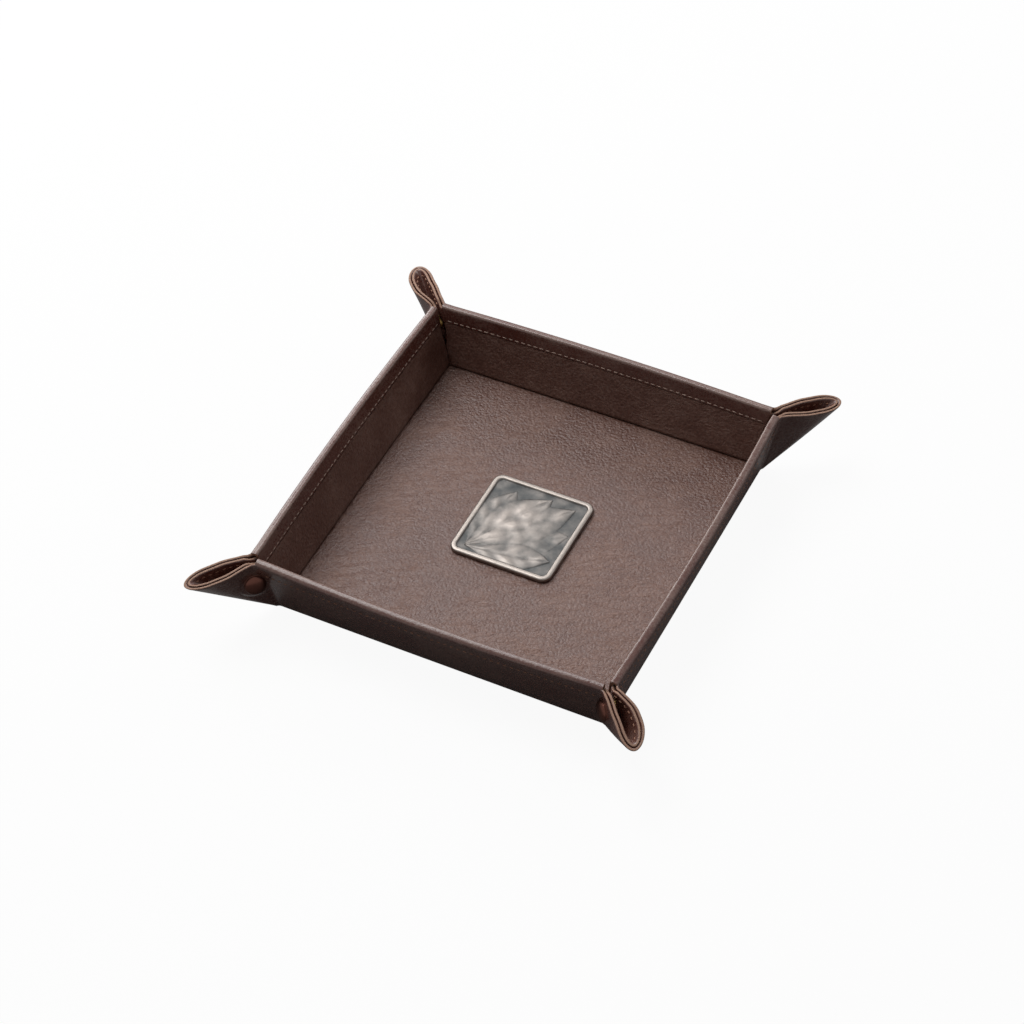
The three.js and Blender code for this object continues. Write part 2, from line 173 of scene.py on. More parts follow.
class TrayFinishes(bpy.types.PropertyGroup):
    """Colours of the tray's finishes."""

    outside: colour("Outside leather", "Outer skin", "#5c3027")
    # The outside rub colour also paints the rim's highlights, where the wall skin's attribute asks for it
    outside_rub: colour("Outside rub", "Where the outer skin is rubbed", "#7c6258")
    inside: colour("Inside leather", "Lining", "#624238")
    inside_rub: colour("Inside rub", "Where the lining's wax is pulled", "#8e7064")
    cut_edge: colour("Cut edge", "Raw edge of the leather", "#b08a74")
    inner_thread: colour("Inner thread", "Stitches inside", "#bda294")
    # The same thread as inside, darker and redder: painted shade on the walls' outside and inside the ears
    outer_thread: colour("Outer thread", "Stitches outside", "#b5866c")
    cap: colour("Snap cap", "Lacquered cap", "#d88a70")
    brass: colour("Brass", "Sockets, studs and posts", "#4f4232")
    pewter: colour("Pewter", "High places of the plaque", "#8f8781")
    patina: colour("Patina", "Low places of the plaque", "#3d4143")
    board: colour("Greyboard", "Stiffeners", "#8c867c")
    tape: colour("Adhesive tape", "Pad under the plaque", "#d8d4c8")


def ease(share):
    """A share from 0 to 1, smoothed at both ends."""
    share = np.clip(share, 0, 1)
    return share * share * (3 - 2 * share)


def lerp(start, end, share):
    """The value at that share of the way from start to end."""
    return start + (end - start) * share


def tray_layout():
    """The sizes that a user sets, with those that follow from them."""
    sizes = bpy.context.scene.tray_sizes
    lay = SimpleNamespace(**{name: getattr(sizes, name) for name in TraySizes.__annotations__})
    lay.half = lay.floor_side / 2
    lay.rim = lay.wall_thickness / 2
    lay.shoulder = lay.wall_height - lay.rim
    lay.turn_end = lay.wall_height - lay.rim_turn
    lay.seam = lay.wall_height - lay.seam_drop
    lay.lining_face = lay.wall_thickness - lay.leather
    lay.ear_thickness = 2 * lay.leather + lay.ear_ply_gap
    cos, sin = math.cos(lay.lean_end), math.sin(lay.lean_end)
    lay.rim_end_z = lay.wall_height * cos
    # The crease rises at the angle at which a square of sheet folds between two leaning walls
    lay.crease_angle = math.atan2(cos, sin / DIAGONAL) - math.acos(1 / math.sqrt(1 + cos**2))
    crease = DIAGONAL * lay.wall_height - (DIAGONAL - 1) * lay.ear_corner
    lay.ear_reach = crease * math.cos(lay.crease_angle)
    lay.ear_tip_z = crease * math.sin(lay.crease_angle)
    lay.ear_flank = (lay.corner_setback + lay.wall_height * sin) / DIAGONAL
    # A wall's outer skin stops this far short of its end, where the bend into the ear begins
    lay.bend_run = lay.bend_radius * math.tan(math.pi / 8)
    # Place of a snap, from the floor corner
    lay.snap_z = lay.rim_end_z - lay.snap_drop
    lay.snap_flank = (lay.corner_setback + lay.snap_z * math.tan(lay.lean_end)) / DIAGONAL
    wall_end_out = lay.snap_flank - DIAGONAL * lay.corner_setback
    lay.snap_reach = wall_end_out + lay.cap_margin + lay.cap_diameter / 2
    lay.plaque_half = lay.plaque_side / 2
    return lay


# Meshes


def grid_quads(rows, columns, wrap=False):
    """Corners of the quads of a grid of points, counted row by row. wrap joins its last column to its
    first."""
    index = np.arange(rows * columns).reshape(rows, columns)
    if wrap:
        index = np.hstack([index, index[:, :1]])
    corners = (index[:-1, :-1], index[:-1, 1:], index[1:, 1:], index[1:, :-1])
    return np.stack(corners, axis=-1).reshape(-1, 4)


def grid_border(rows, columns):
    """The points round the edge of a grid, in order."""
    index = np.arange(rows * columns).reshape(rows, columns)
    return np.concatenate([index[0, :-1], index[:-1, -1], index[-1, :0:-1], index[:0:-1, 0]])


def add_object(name, data):
    """An object in the scene with that mesh, lamp or camera."""
    made = bpy.data.objects.new(name, data)
    bpy.context.scene.collection.objects.link(made)
    return made


def add_piece(name, points, faces, materials, material_index=None, sharp=50):
    """A mesh object at the origin, its faces turned outwards and smooth but for its sharp edges."""
    mesh = bpy.data.meshes.new(name)
    mesh.from_pydata(points.reshape(-1, 3).tolist(), [], [f for part in faces for f in part.tolist()])
    for material in materials:
        mesh.materials.append(material)
    if material_index is not None:
        mesh.polygons.foreach_set("material_index", material_index.astype(np.int32))
    shell = bmesh.new()
    shell.from_mesh(mesh)
    bmesh.ops.recalc_face_normals(shell, faces=shell.faces)
    shell.to_mesh(mesh)
    shell.free()
    mesh.shade_smooth()
    mesh.set_sharp_from_angle(angle=math.radians(sharp))
    return add_object(name, mesh)


def add_sheet(name, outer, inner, materials, cut=None):
    """A closed sheet of leather between an outer and an inner grid of points, joined round their edges.
    cut marks the grid's points that lie on a raw edge; faces between them take the second material."""
    rows, columns = outer.shape[:2]
    count = rows * columns
    front = grid_quads(rows, columns)
    border = grid_border(rows, columns)
    following = np.roll(border, -1)
    strip = np.stack([following, border, border + count, following + count], axis=-1)
    faces = (front, front[:, ::-1] + count, strip)
    points = np.concatenate([outer.reshape(-1, 3), inner.reshape(-1, 3)])
    if cut is None:
        return add_piece(name, points, faces, materials)
    raw = np.tile(cut.ravel(), 2)
    index = np.concatenate([raw[part].all(axis=1) for part in faces])
    return add_piece(name, points, faces, materials, index)


def add_turned(name, profile, centre, axis, material):
    """A turned piece: a profile of (radius, distance along the axis) carried round the axis.
    The first and last ring are closed by flat discs."""
    steps = 56
    side = np.cross(axis, (0, 0, 1))
    side /= np.linalg.norm(side)
    over = np.cross(axis, side)
    turn = np.linspace(0, 2 * math.pi, steps, endpoint=False)
    spoke = np.cos(turn)[:, None] * side + np.sin(turn)[:, None] * over
    radius, along = np.array(profile).T
    points = centre + radius[:, None, None] * spoke + along[:, None, None] * axis
    rings = len(profile)
    ends = np.arange(rings * steps).reshape(rings, steps)[[0, -1]]
    return add_piece(name, points, (grid_quads(rings, steps, wrap=True), ends), [material], sharp=35)


def rounded_square(share_x, share_y, corner):
    """A square of shares from -1 to 1 mapped to nested rounded squares. On the ring at m = max(|x|, |y|)
    the last part of each side, as long as the corner share, becomes half of that corner's arc."""
    ring = np.maximum(np.abs(share_x), np.abs(share_y))
    safe = np.maximum(ring, 1e-9)
    low = np.minimum(np.abs(share_x), np.abs(share_y)) / safe
    turn = np.clip((low - (1 - corner)) / corner, 0, None) * math.pi / 4
    far = np.where(turn > 0, 1 - corner + corner * np.cos(turn), 1)
    near = np.where(turn > 0, 1 - corner + corner * np.sin(turn), low)
    on_x = np.abs(share_x) >= np.abs(share_y)
    x = ring * np.where(on_x, far, near) * np.sign(share_x)
    y = ring * np.where(on_x, near, far) * np.sign(share_y)
    return x, y


def add_plate(name, half, corner, steps, height, rings, materials):
    """A plate with a rounded square outline. Its top is a grid with the given height, and its side and
    underside are rings, each further out by the first number and at the height of the second."""
    share = np.linspace(-1, 1, steps)
    share_x, share_y = np.meshgrid(share, share, indexing="ij")
    x, y = rounded_square(share_x, share_y, corner / half)
    top = np.stack([x * half, y * half, height(x * half, y * half)], axis=-1).reshape(-1, 3)
    border = grid_border(steps, steps)
    border_x, border_y = share_x.ravel()[border], share_y.ravel()[border]
    loops = []
    for out, z in rings:
        grown = half + out
        ring_x, ring_y = rounded_square(border_x, border_y, (corner + out) / grown)
        loops.append(np.stack([ring_x * grown, ring_y * grown, np.full(len(border), z)], axis=-1))
    points = np.concatenate([top, *loops])
    first = np.arange(len(rings) * len(border)).reshape(len(rings), -1) + steps * steps
    bands = np.vstack([border, first])
    following = np.roll(bands, -1, 1)
    corners = (bands[:-1], following[:-1], following[1:], bands[1:])
    side = np.stack(corners, axis=-1).reshape(-1, 4)
    return add_piece(name, points, (grid_quads(steps, steps), side, first[-1:]), materials)


def round_over(edge, top, lines):
    """A quarter circle from a plate's top down its side, as rings for add_plate."""
    quarter = np.linspace(0, math.pi / 2, lines)[1:]
    return [(edge * math.sin(t), top - edge + edge * math.cos(t)) for t in quarter]


def placed(points, turn, mirrored=False):
    """Points of the front wall's frame turned about Z to another wall. mirrored swaps its ends."""
    x = -points[..., 0] if mirrored else points[..., 0]
    y = points[..., 1]
    cos, sin = math.cos(turn), math.sin(turn)
    return np.stack([x * cos - y * sin, x * sin + y * cos, points[..., 2]], axis=-1)


# Materials

# Sockets of the colour Mix node
MIX_SHARE, MIX_A, MIX_B, MIX_RESULT = 0, 6, 7, 2
# Leathers: colour, colour of rubs and painted highlights, roughness where waxed and where pulled, relief,
# lacquer
LEATHERS = {
    "outside_leather": ("outside", "outside_rub", 0.22, 0.36, 0.3, 0.3),
    "inside_leather": ("inside", "inside_rub", 0.3, 0.46, 1.0, 0.0),
}
# Finishes in spots: colour, its share in the dark spots, size of a spot, roughness, metal, bump
MOTTLED = {
    # Cut fibres: pale, furry and dull
    "raw_leather_edge": ("cut_edge", 0.55, 0.8 * MM, 0.7, 0.0, 0.2 * MM),
    # Twisted, waxed linen: the twist breaks each stitch into light and dark
    "inner_thread": ("inner_thread", 0.6, 0.6 * MM, 0.6, 0.0, 0.1 * MM),
    # The outer thread is the inner one darker and redder: painted shade, used outside the walls and in the
    # ears
    "outer_thread": ("outer_thread", 0.6, 0.6 * MM, 0.6, 0.0, 0.1 * MM),
    # Pressed brass under tinted lacquer: a soft coppery shine
    "lacquered_brass": ("cap", 0.75, 3 * MM, 0.34, 0.3, 0.0),
    # Turned brass gone dull: dark, with a low glint
    "plain_brass": ("brass", 0.8, 2 * MM, 0.32, 1.0, 0.0),
    # Pressed pulp: grey, flecked and matt
    "greyboard": ("board", 0.8, 1.5 * MM, 0.85, 0.0, 0.1 * MM),
    # Coated film: off white and smooth
    "adhesive_tape": ("tape", 0.9, 4 * MM, 0.5, 0.0, 0.0),
}


def new_tree(owner):
    """The empty node tree of a material or a world."""
    owner.use_nodes = True
    owner.node_tree.nodes.clear()
    return owner.node_tree


def add_node(tree, kind, inputs=None, **settings):
    """Adds a node with its settings. An input that is a socket is linked, one that is a node is linked to
    that node's first output, and any other value is set."""
    node = tree.nodes.new(kind)
    for name, value in settings.items():
        setattr(node, name, value)
    for name, value in (inputs or {}).items():
        if isinstance(value, bpy.types.Node):
            value = value.outputs[0]
        if isinstance(value, bpy.types.NodeSocket):
            tree.links.new(value, node.inputs[name])
        else:
            node.inputs[name].default_value = value
    return node


def waxed_leather(name, base, rub, shine, dull, relief, lacquer):
    """Waxed, plated split leather. The roller leaves a fine pebbled grain, drawn at 1.4 mm so that it
    shows. The wax pulls lighter in soft clouds 30 mm wide, and in patches it breaks into short pale
    wrinkles, 5 mm apart, that run slantwise across the hide. Where it is pulled it shines less. An
    attribute marks rub wear on the rim and painted highlights along it. A thin lacquer lies on top."""
    cloud_size, wrinkle_size, grain_size, fibre_size = 30 * MM, 5 * MM, 1.4 * MM, 1.7 * MM
    slant, stretch, wrinkle_width = math.radians(28), 3.5, 0.045
    material = bpy.data.materials.new(name)
    tree = new_tree(material)
    place = add_node(tree, "ShaderNodeTexCoord").outputs["Object"]
    clouds = {"Vector": place, "Scale": 1 / cloud_size, "Detail": 4, "Roughness": 0.6, "Distortion": 0.4}
    cloud = add_node(tree, "ShaderNodeTexNoise", clouds)
    turned = {"Vector": place, "Rotation": (0, 0, slant), "Scale": (stretch, 1, 1)}
    slanted = add_node(tree, "ShaderNodeMapping", turned, vector_type="TEXTURE")
    waves = {"Vector": slanted, "Scale": 1 / wrinkle_size, "Detail": 4, "Roughness": 0.6, "Distortion": 0.7}
    wrinkle = add_node(tree, "ShaderNodeTexNoise", waves)
    # A wrinkle lies where the noise crosses its middle value
    across = add_node(tree, "ShaderNodeMath", {0: wrinkle, 1: 0.5}, operation="SUBTRACT")
    away = add_node(tree, "ShaderNodeMath", {0: across}, operation="ABSOLUTE")
    near = {"Value": away, "From Max": wrinkle_width, "To Min": 1.0, "To Max": 0.0}
    ridge = add_node(tree, "ShaderNodeMapRange", near, interpolation_type="SMOOTHSTEP")
    patch = add_node(tree, "ShaderNodeMapRange", {"Value": cloud, "From Min": 0.34, "From Max": 0.7})
    wrinkles = add_node(tree, "ShaderNodeMath", {0: ridge, 1: patch}, operation="MULTIPLY")
    fibres = {"Vector": place, "Scale": 1 / fibre_size, "Detail": 4, "Roughness": 0.7}
    fibre = add_node(tree, "ShaderNodeTexNoise", fibres)
    spread = {"Value": fibre, "From Min": 0.3, "From Max": 0.7, "To Min": -0.3, "To Max": 0.35}
    speckle = add_node(tree, "ShaderNodeMapRange", spread)
    clouded = add_node(tree, "ShaderNodeMath", {0: patch, 1: 0.45, 2: speckle}, operation="MULTIPLY_ADD")
    pulled = add_node(tree, "ShaderNodeMath", {0: wrinkles, 1: 0.32, 2: clouded}, operation="MULTIPLY_ADD")
    # Rub wear and painted highlight from the wall skin's attribute lighten the colour towards the rub colour
    worn_and_highlighted = add_node(tree, "ShaderNodeAttribute", attribute_name="wear").outputs["Fac"]
    rubbed_and_highlighted = add_node(tree, "ShaderNodeMath", {0: worn_and_highlighted, 1: pulled}, operation="ADD", use_clamp=True)
    tint = add_node(tree, "ShaderNodeMix", {MIX_SHARE: rubbed_and_highlighted, MIX_A: base, MIX_B: rub}, data_type="RGBA")
    fading = {"Value": pulled, "From Max": 0.6, "To Min": shine, "To Max": dull}
    gloss = add_node(tree, "ShaderNodeMapRange", fading)
    cells = {"Vector": place, "Scale": 1 / grain_size, "Randomness": 1.0}
    grain = add_node(tree, "ShaderNodeTexVoronoi", cells, feature="SMOOTH_F1")
    # Pebbles, then pores, then wrinkles, each raised on the last
    layers = ((grain, 0.9, 0.35 * MM), (fibre, 0.9, 0.35 * MM), (wrinkles, 0.7, 0.25 * MM))
    raised = {}
    for height, strength, depth in layers:
        layer = {"Height": height, "Strength": strength * relief, "Distance": depth}
        raised = {"Normal": add_node(tree, "ShaderNodeBump", layer | raised)}
    surface = {"Base Color": tint.outputs[MIX_RESULT], "Roughness": gloss, "Specular IOR Level": 0.45}
    coat = {"Coat Weight": lacquer, "Coat Roughness": 0.2}
    shader = add_node(tree, "ShaderNodeBsdfPrincipled", surface | coat | raised)
    add_node(tree, "ShaderNodeOutputMaterial", {"Surface": shader})
    return material


def mottled(name, tint, shade, size, roughness, metallic, bump):
    """A plain finish whose colour and roughness drift in spots of the given size."""
    drift_of_gloss = 0.1
    material = bpy.data.materials.new(name)
    tree = new_tree(material)
    place = add_node(tree, "ShaderNodeTexCoord").outputs["Object"]
    specks = {"Vector": place, "Scale": 1 / size, "Detail": 4, "Roughness": 0.6}
    spots = add_node(tree, "ShaderNodeTexNoise", specks)
    dark = (*(channel * shade for channel in tint[:3]), 1.0)
    drift = add_node(tree, "ShaderNodeMapRange", {"Value": spots, "From Min": 0.3, "From Max": 0.7})
    mixed = add_node(tree, "ShaderNodeMix", {MIX_SHARE: drift, MIX_A: dark, MIX_B: tint}, data_type="RGBA")
    fading = {"Value": spots, "To Min": roughness + drift_of_gloss, "To Max": roughness - drift_of_gloss}
    gloss = add_node(tree, "ShaderNodeMapRange", fading)
    surface = {"Base Color": mixed.outputs[MIX_RESULT], "Roughness": gloss, "Metallic": metallic}
    if bump:
        relief = {"Height": spots, "Strength": 0.5, "Distance": bump}
        surface["Normal"] = add_node(tree, "ShaderNodeBump", relief)
    shader = add_node(tree, "ShaderNodeBsdfPrincipled", surface)
    add_node(tree, "ShaderNodeOutputMaterial", {"Surface": shader})
    return material


def antique_pewter(name, high, low):
    """Cast pewter, blackened and rubbed back: the patina stays in the low places, which the relief
    attribute marks with 0, and the high places, marked with 1, are polished."""
    cast_size = 7 * MM
    material = bpy.data.materials.new(name)
    tree = new_tree(material)
    place = add_node(tree, "ShaderNodeTexCoord").outputs["Object"]
    lumps = {"Vector": place, "Scale": 1 / cast_size, "Detail": 5, "Roughness": 0.6}
    cast = add_node(tree, "ShaderNodeTexNoise", lumps)
    relief = add_node(tree, "ShaderNodeAttribute", attribute_name="relief").outputs["Fac"]
    broken = add_node(tree, "ShaderNodeMath", {0: cast, 1: 0.9, 2: relief}, operation="MULTIPLY_ADD")
    span = {"Value": broken, "From Min": 0.3, "From Max": 1.7}
    polish = add_node(tree, "ShaderNodeMapRange", span, interpolation_type="SMOOTHSTEP")
    tint = add_node(tree, "ShaderNodeMix", {MIX_SHARE: polish, MIX_A: low, MIX_B: high}, data_type="RGBA")
    gloss = add_node(tree, "ShaderNodeMapRange", {"Value": polish, "To Min": 0.6, "To Max": 0.36})
    grit = add_node(tree, "ShaderNodeBump", {"Height": cast, "Strength": 0.3, "Distance": 0.15 * MM})
    surface = {"Base Color": tint.outputs[MIX_RESULT], "Roughness": gloss, "Normal": grit, "Metallic": 1.0}
    shader = add_node(tree, "ShaderNodeBsdfPrincipled", surface)
    add_node(tree, "ShaderNodeOutputMaterial", {"Surface": shader})
    return material


def finish(name):
    """The tray's material of that name, made at its first use."""
    if name in bpy.data.materials:
        return bpy.data.materials[name]
    tints = bpy.context.scene.tray_finishes
    if name in LEATHERS:
        base, rub, *surface = LEATHERS[name]
        return waxed_leather(name, getattr(tints, base), getattr(tints, rub), *surface)
    if name in MOTTLED:
        tint, *surface = MOTTLED[name]
        return mottled(name, getattr(tints, tint), *surface)
    return antique_pewter(name, tints.pewter, tints.patina)


def leathers(name):
    """A leather and its raw edge, for a sheet."""
    return [finish(name), finish("raw_leather_edge")]


# Shapes

CREASE_GAP = 0.01 * MM  # each half of an ear stops this far from the crease
EDGE_ROUND = 0.9 * MM  # rounding of a ply's raw edge
EDGE_FLAT = 0.25  # share of a ply's thickness that stays flat at its raw edge
BOW_SHARE = 0.96  # share of a wall's length over which it bows
PLY_GAP = 0.3 * MM
FLOOR_CLEARANCE = 0.1 * MM
SKIN_UNDER_FLOOR = 5 * MM  # how far a wall's skin reaches under the floor
RIM_OUTSIDE = 2.2  # 2 makes that side of the rim round, more makes its corner squarer
RIM_INSIDE = 3.2
MOUTH_FROM = 0.55  # share of a wall's height above which its ends draw towards the ear's mouth
SEAM_DEPTH = 0.15 * MM  # the thread draws the leather in this far along the seam
SEAM_WIDTH = 0.8 * MM
WALL_LINES, LINING_LINES, BOARD_LINES = 121, 81, 41  # grid lines along a wall's skin, lining and board
TURN_STATION = 6  # station of the rim from which the skin runs on to the wall's end
FALL_CROWDING = 1.6  # more than 1 crowds the stations towards the raw edge of the turned-down leather
RAW_SHARE = 0.14  # share of an ear's rounded top edge that shows the raw cut


def wall_lean(lay, x):
    """Outward lean of the front wall at x: a parabola from its middle to its ends."""
    bow = np.clip(1 - (x / (BOW_SHARE * lay.half)) ** 2, 0, None)
    return lerp(lay.lean_end, lay.lean_middle, bow)


def wall_end(lay, up):
    """How far a wall's end stands short of the floor corner, at a height up its slope. The snap holds the
    ends back, and above it they ease out until the ear's mouth has its width."""
    drawn = ease((up / lay.wall_height - MOUTH_FROM) / (1 - MOUTH_FROM))
    return lay.corner_setback - DIAGONAL * (lay.ear_flank - lay.ear_mouth) * drawn


def wall_point(lay, x, up, inward):
    """A point of the front wall: x along it, up its slope, inward from its outer face."""
    x, lean, up, inward = np.broadcast_arrays(x, wall_lean(lay, x), up, inward)
    y = -lay.half - up * np.sin(lean) + inward * np.cos(lean)
    return np.stack([x, y, up * np.cos(lean) + inward * np.sin(lean)], axis=-1)


def edge_inset(lay, distance):
    """How far each face of a ply draws in towards its middle near a raw edge: a quarter of an ellipse."""
    share = np.clip(distance / EDGE_ROUND, 0, 1)
    full = EDGE_FLAT + (1 - EDGE_FLAT) * np.sqrt(1 - (1 - share) ** 2)
    return (1 - full) * lay.leather / 2


def seam_dip(lay, up):
    """How far the leather is drawn in along the seam: a bell."""
    return SEAM_DEPTH * np.exp(-(((up - lay.seam) / SEAM_WIDTH) ** 2))


def skin_section(lay, lean, depth):
    """Parts of the section of a wall's outer skin for each lean, depth in from its outer face: up and
    inward along the floor and round the fold, up along the climb, and up and inward over the rim. The fold
    is an arc, and each side of the rim is a quarter of a superellipse."""
    lean = lean[:, None]
    radius = lay.fold_radius
    tangent = radius * np.tan(math.pi / 4 - lean / 2)
    floor_run = lerp(SKIN_UNDER_FLOOR, tangent, np.linspace(0, 1, 3)[:-1])
    fold = -math.pi / 2 - np.linspace(0, 1, 9) * (math.pi / 2 - lean)
    fold_y = tangent + (radius - depth) * np.cos(fold)
    fold_z = radius + (radius - depth) * np.sin(fold)
    y = np.concatenate([floor_run + 0 * lean, fold_y], axis=1)
    z = np.concatenate([np.full_like(floor_run, depth) + 0 * lean, fold_z], axis=1)
    low_up = z * np.cos(lean) - y * np.sin(lean)
    low_in = y * np.cos(lean) + z * np.sin(lean)
    climb = lerp(tangent, lay.shoulder, np.linspace(0, 1, 40)[1:-1])
    over = np.linspace(-math.pi / 2, math.pi / 2, 21)
    power = 2 / np.where(over < 0, RIM_OUTSIDE, RIM_INSIDE)
    rim_up = lay.shoulder + (lay.rim - depth) * np.abs(np.cos(over)) ** power
    rim_in = lay.rim + (lay.rim - depth) * np.sign(over) * np.abs(np.sin(over)) ** power
    return low_up, low_in, climb, rim_up, rim_in


def wall_skin_grid(lay, share, side):
    """The outer skin of the front wall, and which stations of its section have turned over the rim. share
    is -1 to 1 along the wall, and side is 0 for its outer and 1 for its inner grid."""
    depth = side * lay.leather
    lean = wall_lean(lay, share * (lay.half - lay.corner_setback - lay.bend_run))
    low_up, low_in, climb, rim_up, rim_in = skin_section(lay, lean, depth)
    fall = lerp(lay.shoulder, lay.turn_end, 1 - (1 - np.linspace(0, 1, 16)[1:]) ** FALL_CROWDING)
    inset = edge_inset(lay, fall - lay.turn_end)
    lines = len(share)
    up = [low_up, climb, np.tile(rim_up, (lines, 1)), np.tile(fall, (lines, 1))]
    climb_in = np.full_like(climb, depth) + (1 - side) * seam_dip(lay, climb)
    fall_in = lay.wall_thickness - depth - (1 - 2 * side) * inset - (1 - side) * seam_dip(lay, fall)
    inward = [low_in, climb_in, np.tile(rim_in, (lines, 1)), np.tile(fall_in, (lines, 1))]
    up = np.concatenate(up, axis=1)
    inward = np.concatenate(inward, axis=1)
    turned_over = np.zeros(up.shape[1], bool)
    turned_over[low_up.shape[1] + climb.shape[1] + TURN_STATION :] = True
    # Inside the fold line the skin is mitred, clear of the next wall's
    under = np.clip(inward * np.cos(lay.lean_end) - up * np.sin(lay.lean_end), 0, None)
    end = lay.half - wall_end(lay, up)
    to_bend = end - lay.bend_run
    mitred = np.where(under > 0, np.minimum(to_bend, lay.half - under - PLY_GAP), to_bend)
    reach = np.where(turned_over, end, mitred)
    return wall_point(lay, share[:, None] * reach, up, inward), turned_over


def fold_shift(lay, up):
    """How far the rounding of the fold draws a wall's outer face in, near the floor: a circle's arc."""
    tangent = lay.fold_radius * math.tan(math.pi / 4 - lay.lean_end / 2)
    low = np.clip(tangent - up, 0, None)
    return lay.fold_radius - np.sqrt(lay.fold_radius**2 - low**2)


ROLL_FADE = 7 * MM  # length over which the rim's roll opens out into an ear's straight edge
FLARE_SHARE = 0.7  # share of the flank over which an ear widens from its mouth to its bulge
NOSE_POWER = 1.05  # 1 makes the loop's end an ellipse, more makes it more pointed
SEAT_FLAT = 5.5 * MM  # round a snap the leather is pressed flat this far out
SEAT_FADE = 5 * MM


def ear_point(lay, path, rise, depth, tilt, sway, tuck=0.0, seat=1.0):
    """A point of half an ear, in the front wall's frame at its -X end.

    path 0 to 1 rounds the bend at the wall's end, 1 to 2 runs along the flank, and 2 to 3 is the quarter
    of a pointed ellipse to the crease. rise is the share of the way up from the floor corner, and depth
    goes in from the outer face. The flank's distance from the crease plane grows with rise, and from the
    mouth to the bulge. At the bend the rise is less by the share tuck, and the top follows the roll of the
    rim. seat 1 presses it flat for a snap that leans back by tilt. sway moves the loop aside, as a sine
    wave that is widest at its middle and as a square that is widest at its tip, and lifts the tip.
    """
    sway_middle, sway_tip, tip_lift = sway
    path, rise, depth = np.broadcast_arrays(path, rise, depth)
    bend = np.clip(path, 0, 1)
    run = np.clip(path - 1, 0, 1)
    turn = np.clip(path - 2, 0, 1) * math.pi / 2
    # Near the wall the top edge rolls over like the rim, and the roll fades along the ear
    travelled = bend * lay.bend_radius * math.pi / 4 + run * (lay.ear_reach - lay.ear_nose) * rise
    rolled = 1 - ease(travelled / ROLL_FADE)
    up = rise * (1 - tuck * rolled) * lay.wall_height
    curl = np.clip(up - lay.shoulder, 0, None) / lay.rim
    curled_up = np.minimum(up, lay.shoulder) + (lay.rim - depth) * np.sin(curl)
    curled_depth = lay.rim - (lay.rim - depth) * np.cos(curl)
    rolls = rolled * (tuck == 0)
    up = lerp(up, curled_up, rolls)
    depth = lerp(depth, curled_depth, rolls)
    share = up / lay.wall_height
    climb = up * math.sin(lay.lean_end)
    # The flank's distance from the crease plane at the mouth and at the bulge
    end = wall_end(lay, up)
    mouth = (end + climb - fold_shift(lay, up)) / DIAGONAL
    bulge = (lay.corner_setback + climb) / DIAGONAL * lay.ear_bulge / lay.ear_flank
    centre_out = mouth - DIAGONAL * end + lay.bend_run
    facing = 1.25 * math.pi + bend * math.pi / 4
    offset = depth * lerp(1, math.cos(lay.lean_end), rolled)
    level = share**4
    nose_start = share * (lay.ear_reach - lay.ear_nose)
    nose = share * lay.ear_nose - depth * lerp(math.sin(lay.crease_angle), 1, level)
    out = centre_out + (lay.bend_radius + offset) * np.cos(facing)
    out = out + run * (nose_start - centre_out) + nose * np.sin(turn)
    reached = np.clip((out - centre_out) / (share * lay.ear_reach - centre_out), 0, 1)
    lift = depth * math.cos(lay.crease_angle) * np.sin(turn) * (1 - level)
    z = share * lerp(lay.rim_end_z, lay.ear_tip_z + tip_lift, reached**2) + lift
    z = z + rolled * depth * math.sin(lay.lean_end)
    swayed = (sway_middle * np.sin(math.pi * reached) + sway_tip * reached**2) * share**3
    flank = mouth + (bulge - mouth) * ease(run / FLARE_SHARE)
    aside = flank + lay.bend_radius + (lay.bend_radius + offset) * np.sin(facing)
    aside = np.maximum(aside * np.cos(turn) ** NOSE_POWER, CREASE_GAP) + swayed
    # Round a snap the flank is pressed to a plane
    from_snap = np.hypot(out - lay.snap_reach, z - lay.snap_z)
    pressed = seat * ease(path) * (1 - ease((from_snap - SEAT_FLAT) / SEAT_FADE)) * (turn == 0)
    seated = lay.snap_flank - (z - lay.snap_z) * math.tan(tilt)
    aside = np.maximum(aside + pressed * (seated - flank - swayed), np.minimum(aside, CREASE_GAP))
    x = -lay.half + (aside - out) / DIAGONAL
    y = -lay.half - (aside + out) / DIAGONAL
    return np.stack([x, y, z], axis=-1)


def ear_shape(lay, half, corner, mirrored):
    """How half an ear is tilted for its snap and swayed, for ear_point."""
    side = -1 if mirrored else 1
    middle, tip, lift = EAR_SWAY[corner]
    return {"tilt": lay.cap_tilt if half == "cap" else 0.0, "sway": (side * middle, side * tip, lift)}


def ear_grid(lay, rise_low, outside, inside, **shape):
    """Outer and inner grid of one ply of half an ear, and which of their points lie on its raw top edge."""
    path = np.concatenate([np.linspace(0, 1, 10)[:-1], np.linspace(1, 2, 22)[:-1], np.linspace(2, 3, 26)])
    edge = EDGE_ROUND / lay.wall_height
    rows = np.linspace(rise_low, 1 - edge, 30)
    rounding = 1 - edge * (1 - np.sin(np.linspace(0, math.pi / 2, 7)[1:]))
    rise = np.concatenate([rows, rounding])
    inset = edge_inset(lay, (1 - rise) * lay.wall_height)
    outer = ear_point(lay, path[:, None], rise, outside + inset, **shape)
    inner = ear_point(lay, path[:, None], rise, inside - inset, **shape)
    cut = np.tile(rise > 1 - RAW_SHARE * edge, (len(path), 1))
    return outer, inner, cut


